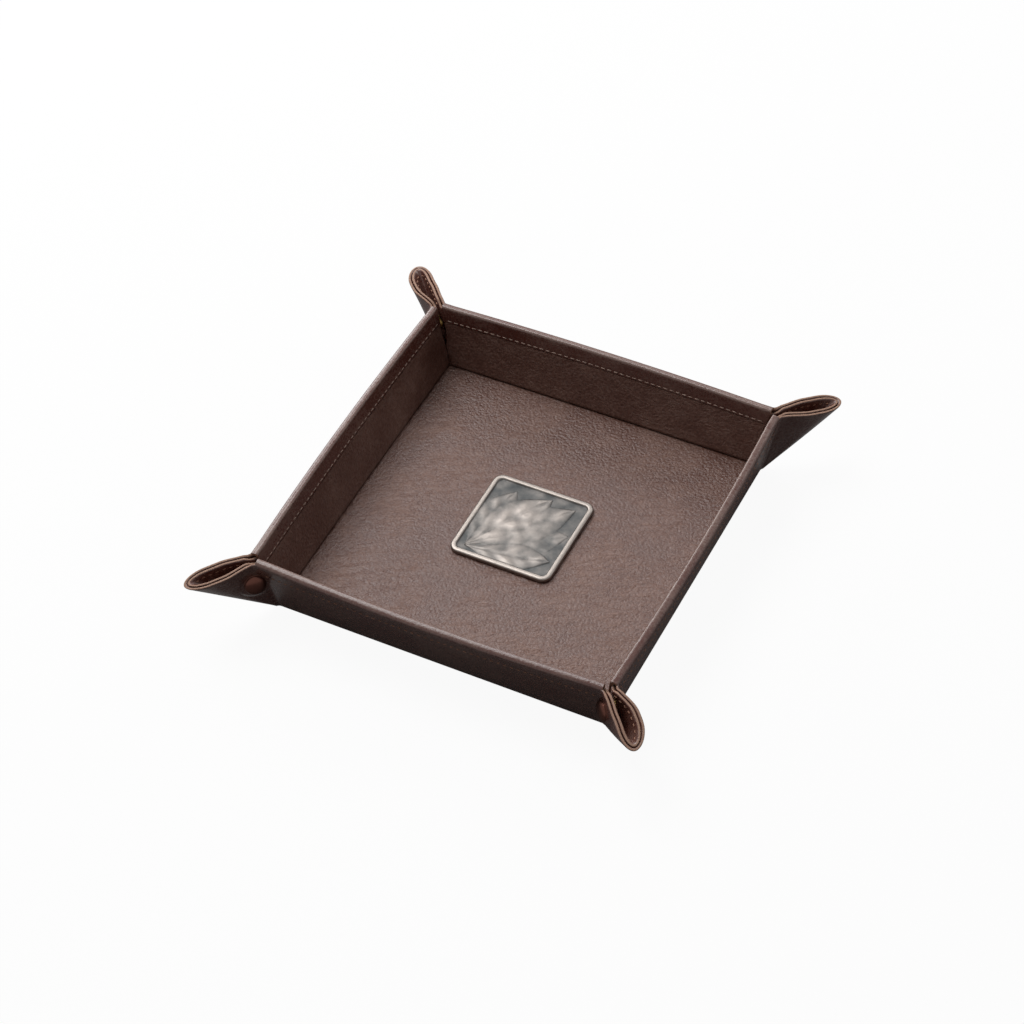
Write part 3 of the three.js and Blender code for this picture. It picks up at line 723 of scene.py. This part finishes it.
def stitch_row(name, start, along, normal, thread, span, material):
    """A row of stitches of that span. Each is a bent tube along its own direction: its radius falls off
    towards the ends as a fourth power, and its middle stands out of the leather while its ends sink in."""
    rings, sides = 9, 8
    taper, stand_out, sink_in, flatness = 0.92, 0.22, 0.62, 0.85
    share = np.linspace(-1, 1, rings)[:, None]
    turn = np.linspace(0, 2 * math.pi, sides, endpoint=False)
    along = along / np.linalg.norm(along, axis=-1, keepdims=True)
    normal = normal - along * (normal * along).sum(-1, keepdims=True)
    normal = normal / np.linalg.norm(normal, axis=-1, keepdims=True)
    across = np.cross(along, normal)
    radius = thread / 2 * np.sqrt(1 - taper * share**4)
    stand = thread * (stand_out - sink_in * share**4) + radius * np.sin(turn) * flatness
    sway = radius * np.cos(turn)
    slide = share * span / 2 + 0 * turn
    parts = zip((along, normal, across), (slide, stand, sway))
    points = start[:, None, None, :] + sum(v[:, None, None, :] * s[None, :, :, None] for v, s in parts)
    one = grid_quads(rings, sides, wrap=True)
    ends = np.arange(rings * sides).reshape(rings, sides)[[0, -1]]
    first = np.arange(len(start))[:, None, None] * rings * sides
    faces = ((first + one).reshape(-1, 4), (first + ends).reshape(-1, sides))
    return add_piece(name, points, faces, [material], sharp=80)


def spaced(line, pitch, margin):
    """Points along a line of points at a pitch, with their directions, leaving a margin at each end."""
    step = np.linalg.norm(np.diff(line, axis=0), axis=1)
    run = np.concatenate([[0], np.cumsum(step)])
    count = int((run[-1] - 2 * margin) / pitch) + 1
    first = (run[-1] - (count - 1) * pitch) / 2
    stations = first + pitch * np.arange(count)
    along = np.gradient(line, run, axis=0)
    parts = (line, along)
    return [np.stack([np.interp(stations, run, axis) for axis in part.T], axis=-1) for part in parts]


# Operators


class TRAY_OT_floor(bpy.types.Operator):
    """Floor: outer skin underneath, board, and the lining wrapped over the board's edges"""

    bl_idname = "tray.floor"
    bl_label = "Floor"

    def execute(self, context):
        lay = tray_layout()
        edge, corner, skin_corner = 1.5 * MM, 2 * MM, 0.2 * MM
        board_play, board_drop = 0.2 * MM, 0.1 * MM
        wave_height, wave_x, wave_y = 0.06 * MM, 11 * MM, 13 * MM
        inner = edge - lay.leather
        cover_half = LINING_HIGH.x + LINING_GROWTH - edge
        hem = [(edge, BOARD_LOW.z), (inner, BOARD_LOW.z), (inner, lay.floor_top - lay.leather)]

        def skin_top(x, y):
            return np.full_like(x, lay.leather)

        def cover_top(x, y):
            """The lining lies in low waves: a product of two sines."""
            return lay.floor_top + wave_height * np.sin(x / wave_x) * np.sin(y / wave_y + 1)

        def board_top(x, y):
            return np.full_like(x, BOARD_HIGH.z - board_drop)

        # Name, node, slot, material, half its side, rounding of its corners, grid lines, top and rings
        plates = (
            ("base_skin", "base_outer_leather", "leather_outside", "outside_leather",
             lay.half - SKIN_UNDER_FLOOR, skin_corner, 40, skin_top, [(0, 0)]),
            ("floor_cover", "floor_lining", "leather_inside", "inside_leather",
             cover_half, corner, 90, cover_top, round_over(edge, lay.floor_top, 7) + hem),
            ("floor_stiffener", "floor_board", "greyboard", "greyboard",
             cover_half + inner - board_play, corner, 12, board_top, [(0, BOARD_LOW.z)]),
        )
        for name, node, slot, material, *shape in plates:
            plate = add_plate(name, *shape, [finish(material)])
            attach(plate, "base")
            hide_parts(node)
        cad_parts["plaque_adhesive"].data.materials[0] = finish("adhesive_tape")
        return {"FINISHED"}


class TRAY_OT_walls(bpy.types.Operator):
    """Walls: an outer skin that bends at the fold, a lining and a board for each"""

    bl_idname = "tray.walls"
    bl_label = "Walls"

    def execute(self, context):
        lay = tray_layout()
        share = np.linspace(-1, 1, WALL_LINES)
        outer, turned_over = wall_skin_grid(lay, share, 0)
        inner, _ = wall_skin_grid(lay, share, 1)
        skin_cut = np.zeros(outer.shape[:2], bool)
        skin_cut[[0, -1]] = turned_over
        rub = self.rubbed_and_highlighted(lay, outer, turned_over)
        *lining, lining_cut = self.lining_grids(lay)
        skin = (outer, inner)
        plies = (
            ("skin", "outer_leather", skin, leathers("outside_leather"), skin_cut, "leather_outside"),
            ("cover", "lining", lining, leathers("inside_leather"), lining_cut, "leather_inside"),
            ("stiffener", "board", self.board_grids(lay), [finish("greyboard")], None, "greyboard"),
        )
        tangent = lay.fold_radius * math.tan(math.pi / 4 - lay.lean_middle / 2)
        end = wall_point(lay, 0, tangent, 0)
        for wall, turn, _, _ in WALLS:
            body = f"{wall}_wall"
            for label, node, faces, materials, cut, slot in plies:
                grids = (placed(face, turn) for face in faces)
                piece = add_sheet(f"{wall}_{label}", *grids, materials, cut)
                if label == "skin":
                    # Rub wear over the rim's top and a painted highlight along its inner edge, for the
                    # leather's colour
                    wear = piece.data.attributes.new("wear", "FLOAT", "POINT")
                    wear.data.foreach_set("value", rub)
                    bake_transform(piece)
                else:
                    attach(piece, body)
                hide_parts(f"{wall}_wall_{node}")
        return {"FINISHED"}

    def rubbed_and_highlighted(self, lay, outer, turned_over):
        """How much the outer skin is lightened at each point: a bell over the top of the rim, which is rub
        wear and painted highlight, and a stronger one over its inner edge, a painted highlight, which lies
        some stations after the skin turns over."""
        # Rub wear with painted highlight over the top, painted highlight alone over the inner edge
        top_rub_and_highlight, top_width = 0.15, 2 * MM
        edge_highlight, edge_station, edge_width = 0.6, 10, 1.5
        lines, stations = outer.shape[:2]
        height = np.tile(outer[..., 2].ravel(), 2)
        top = np.exp(-(((height - lay.rim_end_z) / top_width) ** 2))
        from_edge = np.arange(stations) - np.argmax(turned_over) - edge_station
        edge = np.tile(np.exp(-((from_edge / edge_width) ** 2)), 2 * lines)
        return (top_rub_and_highlight * top + edge_highlight * edge).astype(np.float32)

    def lining_grids(self, lay):
        """Both faces of a wall's lining, and which of their points lie on a raw edge: down the wall from
        the seam and, by a quarter circle, under the board's lower edge."""
        bend, level_height, seam_gap = 2.2 * MM, 5 * MM, 0.03 * MM
        fall = np.linspace(1, 0, 30)
        quarter = np.linspace(0, math.pi / 2, 9)[1:]
        back = np.linspace(lay.wall_thickness - bend, lay.leather + PLY_GAP, 4)[1:]
        share = np.linspace(-1, 1, LINING_LINES)
        lean = wall_lean(lay, share * (lay.half - lay.corner_setback))[:, None]
        bottom = (lay.floor_top + FLOOR_CLEARANCE - lay.wall_thickness * np.sin(lean)) / np.cos(lean)
        falling = lerp(bottom + bend, lay.turn_end - seam_gap, fall)
        grids = []
        for depth in (0, lay.leather):
            turning = bottom + bend - (bend - depth) * np.sin(quarter)
            up = np.concatenate([falling, turning, bottom + depth + 0 * back], axis=1)
            fall_in = np.full_like(fall, lay.wall_thickness - depth)
            turn_in = lay.wall_thickness - bend + (bend - depth) * np.cos(quarter)
            inward = np.concatenate([fall_in, turn_in, back])
            # The lower edge is level, like the floor under it
            level = 1 - ease((up - bottom) / level_height)
            up = up + level * (lay.wall_thickness - inward) * np.tan(lean)
            mitre = inward * math.cos(lay.lean_end) - up * math.sin(lay.lean_end) + PLY_GAP
            reach = lay.half - np.maximum(wall_end(lay, up), mitre)
            grids.append(wall_point(lay, share[:, None] * reach, up, inward))
        cut = np.zeros(grids[0].shape[:2], bool)
        cut[[0, -1]] = up[0] > lay.wall_height / 2
        return (*grids, cut)

    def board_grids(self, lay):
        """Both faces of a wall's board, which stops short of the lining's turned edge and of the ears."""
        ear_gap = 3 * MM
        bottom = (lay.floor_top + PLY_GAP) / math.cos(lay.lean_middle) + lay.leather + PLY_GAP
        up = np.linspace(bottom, lay.shoulder, 6)
        reach = lay.half - lay.corner_setback - lay.bend_run - ear_gap
        x = reach * np.linspace(-1, 1, BOARD_LINES)[:, None]
        depths = (lay.leather + PLY_GAP, lay.lining_face - PLY_GAP)
        return [wall_point(lay, x, up, inward) for inward in depths]


class TRAY_OT_ears(bpy.types.Operator):
    """Ears: each half has an outer skin and a lining, and bends where it leaves its wall"""

    bl_idname = "tray.ears"
    bl_label = "Ears"

    def execute(self, context):
        lay = tray_layout()
        lining_depth = lay.leather + lay.ear_ply_gap
        # Shares of the way up at which skin and lining start, and by which the lining sinks at the bend
        keel, cover_foot, cover_tuck = 0.015, 0.5, 0.075
        half_bend = math.pi / 8
        hinge = np.array([-lay.half + lay.corner_setback, -lay.half, 0])
        axis = np.array([0, -math.sin(lay.lean_end), math.cos(lay.lean_end)])
        onward = np.array([-math.cos(half_bend), -math.sin(half_bend), 0])
        onward = onward - axis * (onward @ axis)
        for wall, turn, half, corner, mirrored in EAR_HALVES:
            shape = ear_shape(lay, half, corner, mirrored)
            pressed = 1.0 if half == "cap" else 0.0
            skin = ear_grid(lay, keel, 0, lay.leather, seat=pressed, **shape)
            cover = ear_grid(lay, cover_foot, lining_depth, lay.ear_thickness, tuck=cover_tuck, **shape)
            plies = (
                ("skin", "outer", skin, "leather_outside", 0),
                ("cover", "lining", cover, "leather_inside", lining_depth),
            )
            for label, node, (*faces, cut), slot, depth in plies:
                grids = (placed(face, turn, mirrored) for face in faces)
                # Both plies take the darker outside leather: on the lining it is painted shade in the hollow
                # of the loop
                piece = add_sheet(f"{corner}_{half}_ear_{label}", *grids, leathers("outside_leather"), cut)
                swing = onward * (lay.bend_radius + depth) * math.sin(half_bend)
                start = placed(hinge - swing, turn, mirrored)
                end = placed(hinge + swing, turn, mirrored)
                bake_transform(piece)
                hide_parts(f"{corner}_{half}_half_{node}")
        return {"FINISHED"}


class TRAY_OT_stitches(bpy.types.Operator):
    """Stitches: rows inside and outside each wall and inside each half of an ear"""

    bl_idname = "tray.stitches"
    bl_label = "Stitches"

    def execute(self, context):
        lay = tray_layout()
        end_gap = 2.5 * MM
        x = np.linspace(-1, 1, 200) * (lay.half - wall_end(lay, lay.seam) - end_gap)
        lean = lerp(lay.lean_end, lay.lean_middle, 0.5)
        inwards = np.array([0, math.cos(lean), math.sin(lean)])
        faces = (
            ("inner", lay.wall_thickness, 1, lay.stitch_length, "inner_thread"),
            # The outer row's darker thread is painted shade
            ("outer", 0.0, -1, lay.outer_stitch, "outer_thread"),
        )
        for wall, turn, half, corners in WALLS:
            for label, inward, facing, span, thread in faces:
                line = wall_point(lay, x, lay.seam, inward - facing * SEAM_DEPTH)
                start, along = spaced(line, lay.stitch_pitch, 0)
                ways = (placed(part, turn) for part in (start, along, inwards * facing + 0 * start))
                row = stitch_row(f"{wall}_{label}_stitches", *ways, lay.thread, span, finish(thread))
                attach(row, f"{wall}_wall")
                if label == "inner":
                    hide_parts(f"{wall}_wall_seam_thread")
            for end, corner in enumerate(corners):
                self.ear_row(lay, turn, half, corner, end == 1)
        return {"FINISHED"}

    def ear_row(self, lay, turn, half, corner, mirrored):
        """Stitches inside half an ear, at a steady drop below its top edge."""
        path_start, path_end, margin = 1.05, 2.96, 1 * MM
        path = np.linspace(path_start, path_end, 240)
        rise = 1 - lay.ear_seam_drop / lay.wall_height
        line = ear_point(lay, path, rise, lay.ear_thickness, **ear_shape(lay, half, corner, mirrored))
        start, along = spaced(line, lay.stitch_pitch, margin)
        ways = (placed(part, turn, mirrored) for part in (start, along, np.cross(along, (0, 0, 1))))
        # Inside the ear the darker thread is painted shade
        name, thread = f"{corner}_{half}_ear_stitches", finish("outer_thread")
        row = stitch_row(name, *ways, lay.thread, lay.outer_stitch, thread)
        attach(row, f"{corner}_{half}_half")


class TRAY_OT_snaps(bpy.types.Operator):
    """Snaps: domed cap and socket on one half of an ear, stud and post on the other"""

    bl_idname = "tray.snaps"
    bl_label = "Snaps"

    def execute(self, context):
        lay = tray_layout()
        out = -lay.half - lay.snap_reach / DIAGONAL
        centre = np.array([out, out, lay.snap_z])
        axis = np.array([1, -1, 0]) / DIAGONAL
        leaning = axis * math.cos(lay.cap_tilt) + np.array([0, 0, math.sin(lay.cap_tilt)])
        # A leaning cap turns about the place where its axis meets the leather
        poses = {"cap": (centre + lay.snap_flank * (axis - leaning), leaning)}
        profiles = self.profiles(lay)
        for _, turn, half, corner, mirrored in EAR_HALVES:
            for node, profile in profiles[half].items():
                metal = "lacquered_brass" if node == "cap" else "plain_brass"
                pose = (placed(part, turn, mirrored) for part in poses.get(node, (centre, axis)))
                piece = add_turned(f"{corner}_{half}_{node}", profile, *pose, finish(metal))
                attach(piece, f"{corner}_{half}_half")
                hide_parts(f"{corner}_snap_{node}")
        return {"FINISHED"}

    def profiles(self, lay):
        """Profiles of a snap's pieces as (radius, distance from the crease plane), for each half of an ear.
        The cap is half an ellipse over a rounded lip, and the stud's knob is most of one."""
        metal, play, shank, point = 0.3 * MM, 0.2 * MM, 1.5 * MM, 0.05 * MM
        lip_round, lip_height, dome_share = 0.25 * MM, 0.6 * MM, 0.96
        bore, ring, ring_gap = 2.3 * MM, 4.2 * MM, 0.9 * MM
        plate, plate_height, plate_edge, neck = 3.6 * MM, 0.6 * MM, 0.15 * MM, 1.6 * MM
        knob_radius, knob_height, head = 1.9 * MM, 0.65 * MM, 4 * MM
        radius = lay.cap_diameter / 2
        seat = lay.snap_flank - metal
        lining = lay.snap_flank - lay.ear_thickness
        face = lining - play
        inside = face + metal
        mouth = -lining + play + ring_gap
        foot = face - plate_height
        middle = lay.snap_flank - lay.ear_thickness / 2
        dome_foot, dome_rise = seat + lip_height, lay.cap_dome - lip_height
        over = np.linspace(-math.pi / 2, math.pi / 2, 7)
        lip = zip(radius - lip_round + lip_round * np.cos(over), seat + lip_height * (1 + np.sin(over)) / 2)
        climb = np.linspace(0.05, 1.54, 18)
        dome = zip(radius * dome_share * np.cos(climb), dome_foot + dome_rise * np.sin(climb))
        swell = np.linspace(-0.5, 1.5, 14)
        knob = zip(knob_radius * np.cos(swell), foot - knob_height * (1 + np.sin(swell)))
        cap = [(point, inside), (shank, inside), (shank, seat), *lip, *dome]
        socket = [(point, face - metal), (bore, face - metal), (bore, mouth + play), (bore + play, mouth)]
        socket += [(ring - metal, mouth), (ring, mouth + metal), (ring, face), (point, face)]
        stud = [(point, face), (plate, face), (plate, foot + plate_edge), (plate - play, foot)]
        stud += [(neck, foot), *knob]
        post = [(point, inside), (shank, inside), (shank, middle - metal), (head, middle - metal)]
        post += [(head, middle + metal), (point, middle + metal)]
        return {"cap": {"cap": cap, "socket": socket}, "stud": {"stud": stud, "post": post}}


class TRAY_OT_plaque(bpy.types.Operator):
    """Plaque: a cast square with a beaded rim round a spray of broad leaves"""

    bl_idname = "tray.plaque"
    bl_label = "Plaque"

    def execute(self, context):
        lay = tray_layout()
        edge, steps = 1.2 * MM, 231
        high_from, polished = 0.87, 1.05

        def top(x, y):
            return self.height(lay, x, y)

        half = lay.plaque_half - edge
        shoulder = float(top(np.array(half), np.array(0.0)))
        side = round_over(edge, shoulder, 5) + [(edge, PLAQUE_LOW.z)]
        pewter = [finish("antique_pewter")]
        plaque = add_plate("plaque_casting", half, lay.plaque_corner - edge, steps, top, side, pewter)
        points = np.zeros(len(plaque.data.vertices) * 3, np.float32)
        plaque.data.vertices.foreach_get("co", points)
        above_field = points.reshape(-1, 3)[:, 2] - (lay.plaque_top - lay.plaque_recess)
        share = np.clip(above_field / lay.plaque_recess, 0, 1)
        share[share > high_from] = polished
        share[steps * steps :] = polished
        relief = plaque.data.attributes.new("relief", "FLOAT", "POINT")
        relief.data.foreach_set("value", share.astype(np.float32))
        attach(plaque, "base")
        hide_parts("plaque")
        return {"FINISHED"}

    def height(self, lay, x, y):
        """The rim is a low bead, a parabola across, that falls in a soft step to the field with the
        leaves."""
        bead_height, step_from, leaf_share = 0.18 * MM, 0.75, 0.85
        over_x = np.abs(x) - lay.plaque_half + lay.plaque_corner
        over_y = np.abs(y) - lay.plaque_half + lay.plaque_corner
        rounded = np.hypot(np.clip(over_x, 0, None), np.clip(over_y, 0, None))
        from_edge = lay.plaque_corner - rounded - np.minimum(np.maximum(over_x, over_y), 0)
        share = from_edge / lay.plaque_rim
        bead = -bead_height * np.clip(2 * share - 1, -1, 1) ** 2
        field = lay.plaque_half - lay.plaque_rim
        low = lay.plaque_recess * (leaf_share * self.spray(x / field, y / field) - 1)
        return lay.plaque_top + lerp(bead, low, ease((share - step_from) / (1 - step_from)))

    def spray(self, x, y):
        """Height from 0 to 1 of leaves that fan out from one corner, over beaten ground, which is a product
        of sines. A leaf is an almond about a midrib that bends as a parabola: its half width is a sine of
        the way along, its height falls off from the midrib as part of a circle, the rib is a narrow groove
        down its middle, and its veins are a cosine that slants back from the rib."""
        root_x, root_y = -0.86, -0.9
        ground_level, ground_wave = 0.28, 0.16
        fullness, least_width, least_rib = 1.3, 1e-6, 0.004
        rib_width, rib_depth, vein_depth = 0.12, 0.3, 0.08
        # Heading, length, half width, curve and lift of each leaf
        leaves = (
            (0.06, 1.8, 0.2, 0.1, 0.5),
            (1.5, 1.75, 0.2, -0.12, 0.3),
            (0.42, 2.1, 0.22, 0.1, 0.25),
            (1.12, 2.1, 0.22, -0.1, 0.6),
            (0.76, 2.4, 0.19, 0.05, 0.45),
        )
        ripple = np.sin(5 * x + 2 * np.sin(4 * y)) * np.sin(6 * y + 2 * np.sin(5 * x))
        ground = ground_level + ground_wave * ripple
        total = ground
        for heading, span, breadth, curve, lift in leaves:
            cos, sin = math.cos(heading), math.sin(heading)
            along = ((x - root_x) * cos + (y - root_y) * sin) / span
            across = ((y - root_y) * cos - (x - root_x) * sin) / span - curve * along**2
            width = breadth * np.sin(math.pi * np.clip(along, 0, 1) ** fullness) + least_width
            body = np.sqrt(np.clip(1 - (across / width) ** 2, 0, 1)) * (along > 0) * (along < 1)
            rib = rib_depth * np.exp(-((across / (rib_width * width + least_rib)) ** 2))
            veins = vein_depth * np.cos(30 * along - 40 * np.abs(across))
            total = np.maximum(total, ground + body * (lift - rib * lift + veins))
        return np.clip(total, 0, 1)


CAMERA_AZIMUTH = math.radians(30.634)
CAMERA_ELEVATION = math.radians(48.058)
CAMERA_ROLL = math.radians(-4.899)
CAMERA_DISTANCE = 1641.45 * MM
CAMERA_ASIDE = -6.059 * MM  # camera's place across and up from the line through the origin
CAMERA_ABOVE = 13.479 * MM
CAMERA_LENS = 103.995  # millimetres, as is the sensor's width
CAMERA_SENSOR = 36
# Flat lamps: name, place, width and height, power
SOFTBOXES = (
    ("softbox_above", (-1.0, 0.48, 1.65), (1.3, 1.3), 30),
    ("strip_behind", (0.1, 1.5, 1.0), (2.0, 0.5), 8),
    ("panel_back_left", (-1.33, 0.98, 0.36), (1.0, 0.7), 9),
)
WHITE = (1, 1, 1, 1)


class TRAY_OT_stage(bpy.types.Operator):
    """Stage: a white floor, soft studio light and the camera"""

    bl_idname = "tray.stage"
    bl_label = "Stage"

    def execute(self, context):
        scene = context.scene
        scene.view_settings.view_transform = "Standard"
        self.add_floor()
        self.add_world(scene)
        for name, place, sides, power in SOFTBOXES:
            lamp = bpy.data.lights.new(name, "AREA")
            lamp.shape = "RECTANGLE"
            lamp.size, lamp.size_y = sides
            lamp.energy = power
            softbox = add_object(name, lamp)
            softbox.location = place
            softbox.rotation_euler = (-Vector(place)).to_track_quat("-Z", "Y").to_euler()
        self.add_camera(scene)
        return {"FINISHED"}

    def add_floor(self):
        """A wide white sheet on the ground."""
        half = 6.0
        mesh = bpy.data.meshes.new("studio_floor")
        corners = [(-half, -half, 0), (half, -half, 0), (half, half, 0), (-half, half, 0)]
        mesh.from_pydata(corners, [], [(0, 1, 2, 3)])
        mesh.materials.append(self.white_paper())
        paper = add_object("studio_floor", mesh)

    def seen_directly(self, tree):
        """A Light Path node, and a share that is 1 for what is seen directly or through something."""
        path = add_node(tree, "ShaderNodeLightPath")
        rays = {0: path.outputs["Is Camera Ray"], 1: path.outputs["Is Transmission Ray"]}
        return path, add_node(tree, "ShaderNodeMath", rays, operation="MAXIMUM")

    def white_paper(self):
        """Matt background paper. Seen directly or through something it is nearly white and keeps a faint
        shadow. To everything else it is mid grey, with a little of its glow in what shines."""
        grey, white, glow_seen, glow_shining = 0.27, 0.9, 0.94, 0.02
        material = bpy.data.materials.new("background_paper")
        tree = new_tree(material)
        path, clear = self.seen_directly(tree)
        shade = add_node(tree, "ShaderNodeMapRange", {"Value": clear, "To Min": grey, "To Max": white})
        matt = add_node(tree, "ShaderNodeBsdfDiffuse", {"Color": shade})
        glow = add_node(tree, "ShaderNodeEmission", {"Color": WHITE, "Strength": 1.0})
        direct = add_node(tree, "ShaderNodeMath", {0: clear, 1: glow_seen}, operation="MULTIPLY")
        shining = {0: path.outputs["Is Glossy Ray"], 1: glow_shining, 2: direct}
        share = add_node(tree, "ShaderNodeMath", shining, operation="MULTIPLY_ADD", use_clamp=True)
        mixed = add_node(tree, "ShaderNodeMixShader", {0: share, 1: matt, 2: glow})
        add_node(tree, "ShaderNodeOutputMaterial", {"Surface": mixed})
        return material

    def add_world(self, scene):
        """A dim even sky, white where it is seen directly or through something, and pale in what shines."""
        dim, pale = 0.1, 0.7
        scene.world = bpy.data.worlds.new("studio")
        tree = new_tree(scene.world)
        path, clear = self.seen_directly(tree)
        glossy = {0: path.outputs["Is Glossy Ray"], 1: pale}
        shining = add_node(tree, "ShaderNodeMath", glossy, operation="MULTIPLY")
        seen = add_node(tree, "ShaderNodeMath", {0: clear, 1: shining}, operation="MAXIMUM")
        level = add_node(tree, "ShaderNodeMapRange", {"Value": seen, "To Min": dim, "To Max": 1.0})
        sky = add_node(tree, "ShaderNodeBackground", {"Color": WHITE, "Strength": level})
        add_node(tree, "ShaderNodeOutputWorld", {"Surface": sky})

    def add_camera(self, scene):
        """The photograph's viewpoint: azimuth, elevation and roll about the origin, then a small shift."""
        cos_a, sin_a = math.cos(CAMERA_AZIMUTH), math.sin(CAMERA_AZIMUTH)
        cos_e, sin_e = math.cos(CAMERA_ELEVATION), math.sin(CAMERA_ELEVATION)
        back = Vector((sin_a * cos_e, -cos_a * cos_e, sin_e))
        level = Vector((cos_a, sin_a, 0))
        upright = back.cross(level)
        right = math.cos(CAMERA_ROLL) * level + math.sin(CAMERA_ROLL) * upright
        up = math.cos(CAMERA_ROLL) * upright - math.sin(CAMERA_ROLL) * level
        data = bpy.data.cameras.new("camera")
        data.lens = CAMERA_LENS
        data.sensor_width = CAMERA_SENSOR
        turned = Matrix((right, up, back)).transposed().to_4x4()
        turned.translation = back * CAMERA_DISTANCE + right * CAMERA_ASIDE + up * CAMERA_ABOVE
        scene.camera = add_object("camera", data)
        scene.camera.matrix_world = turned


class TRAY_PT_panel(bpy.types.Panel):
    """Lists the steps that dress the tray"""

    bl_label = "Leather tray"
    bl_idname = "TRAY_PT_panel"
    bl_space_type = "VIEW_3D"
    bl_region_type = "UI"
    bl_category = "Tray"

    def draw(self, context):
        for step in STEPS:
            self.layout.operator(step.bl_idname)


STEPS = (
    TRAY_OT_floor,
    TRAY_OT_walls,
    TRAY_OT_ears,
    TRAY_OT_stitches,
    TRAY_OT_snaps,
    TRAY_OT_plaque,
    TRAY_OT_stage,
)
CLASSES = (TraySizes, TrayFinishes, *STEPS, TRAY_PT_panel)


def register():
    for kind in CLASSES:
        bpy.utils.register_class(kind)
    bpy.types.Scene.tray_sizes = bpy.props.PointerProperty(type=TraySizes)
    bpy.types.Scene.tray_finishes = bpy.props.PointerProperty(type=TrayFinishes)


def unregister():
    del bpy.types.Scene.tray_finishes
    del bpy.types.Scene.tray_sizes
    for kind in reversed(CLASSES):
        bpy.utils.unregister_class(kind)


def main():
    register()
    for step in STEPS:
        group, name = step.bl_idname.split(".")
        getattr(getattr(bpy.ops, group), name)()


if __name__ == "__main__":
    main()
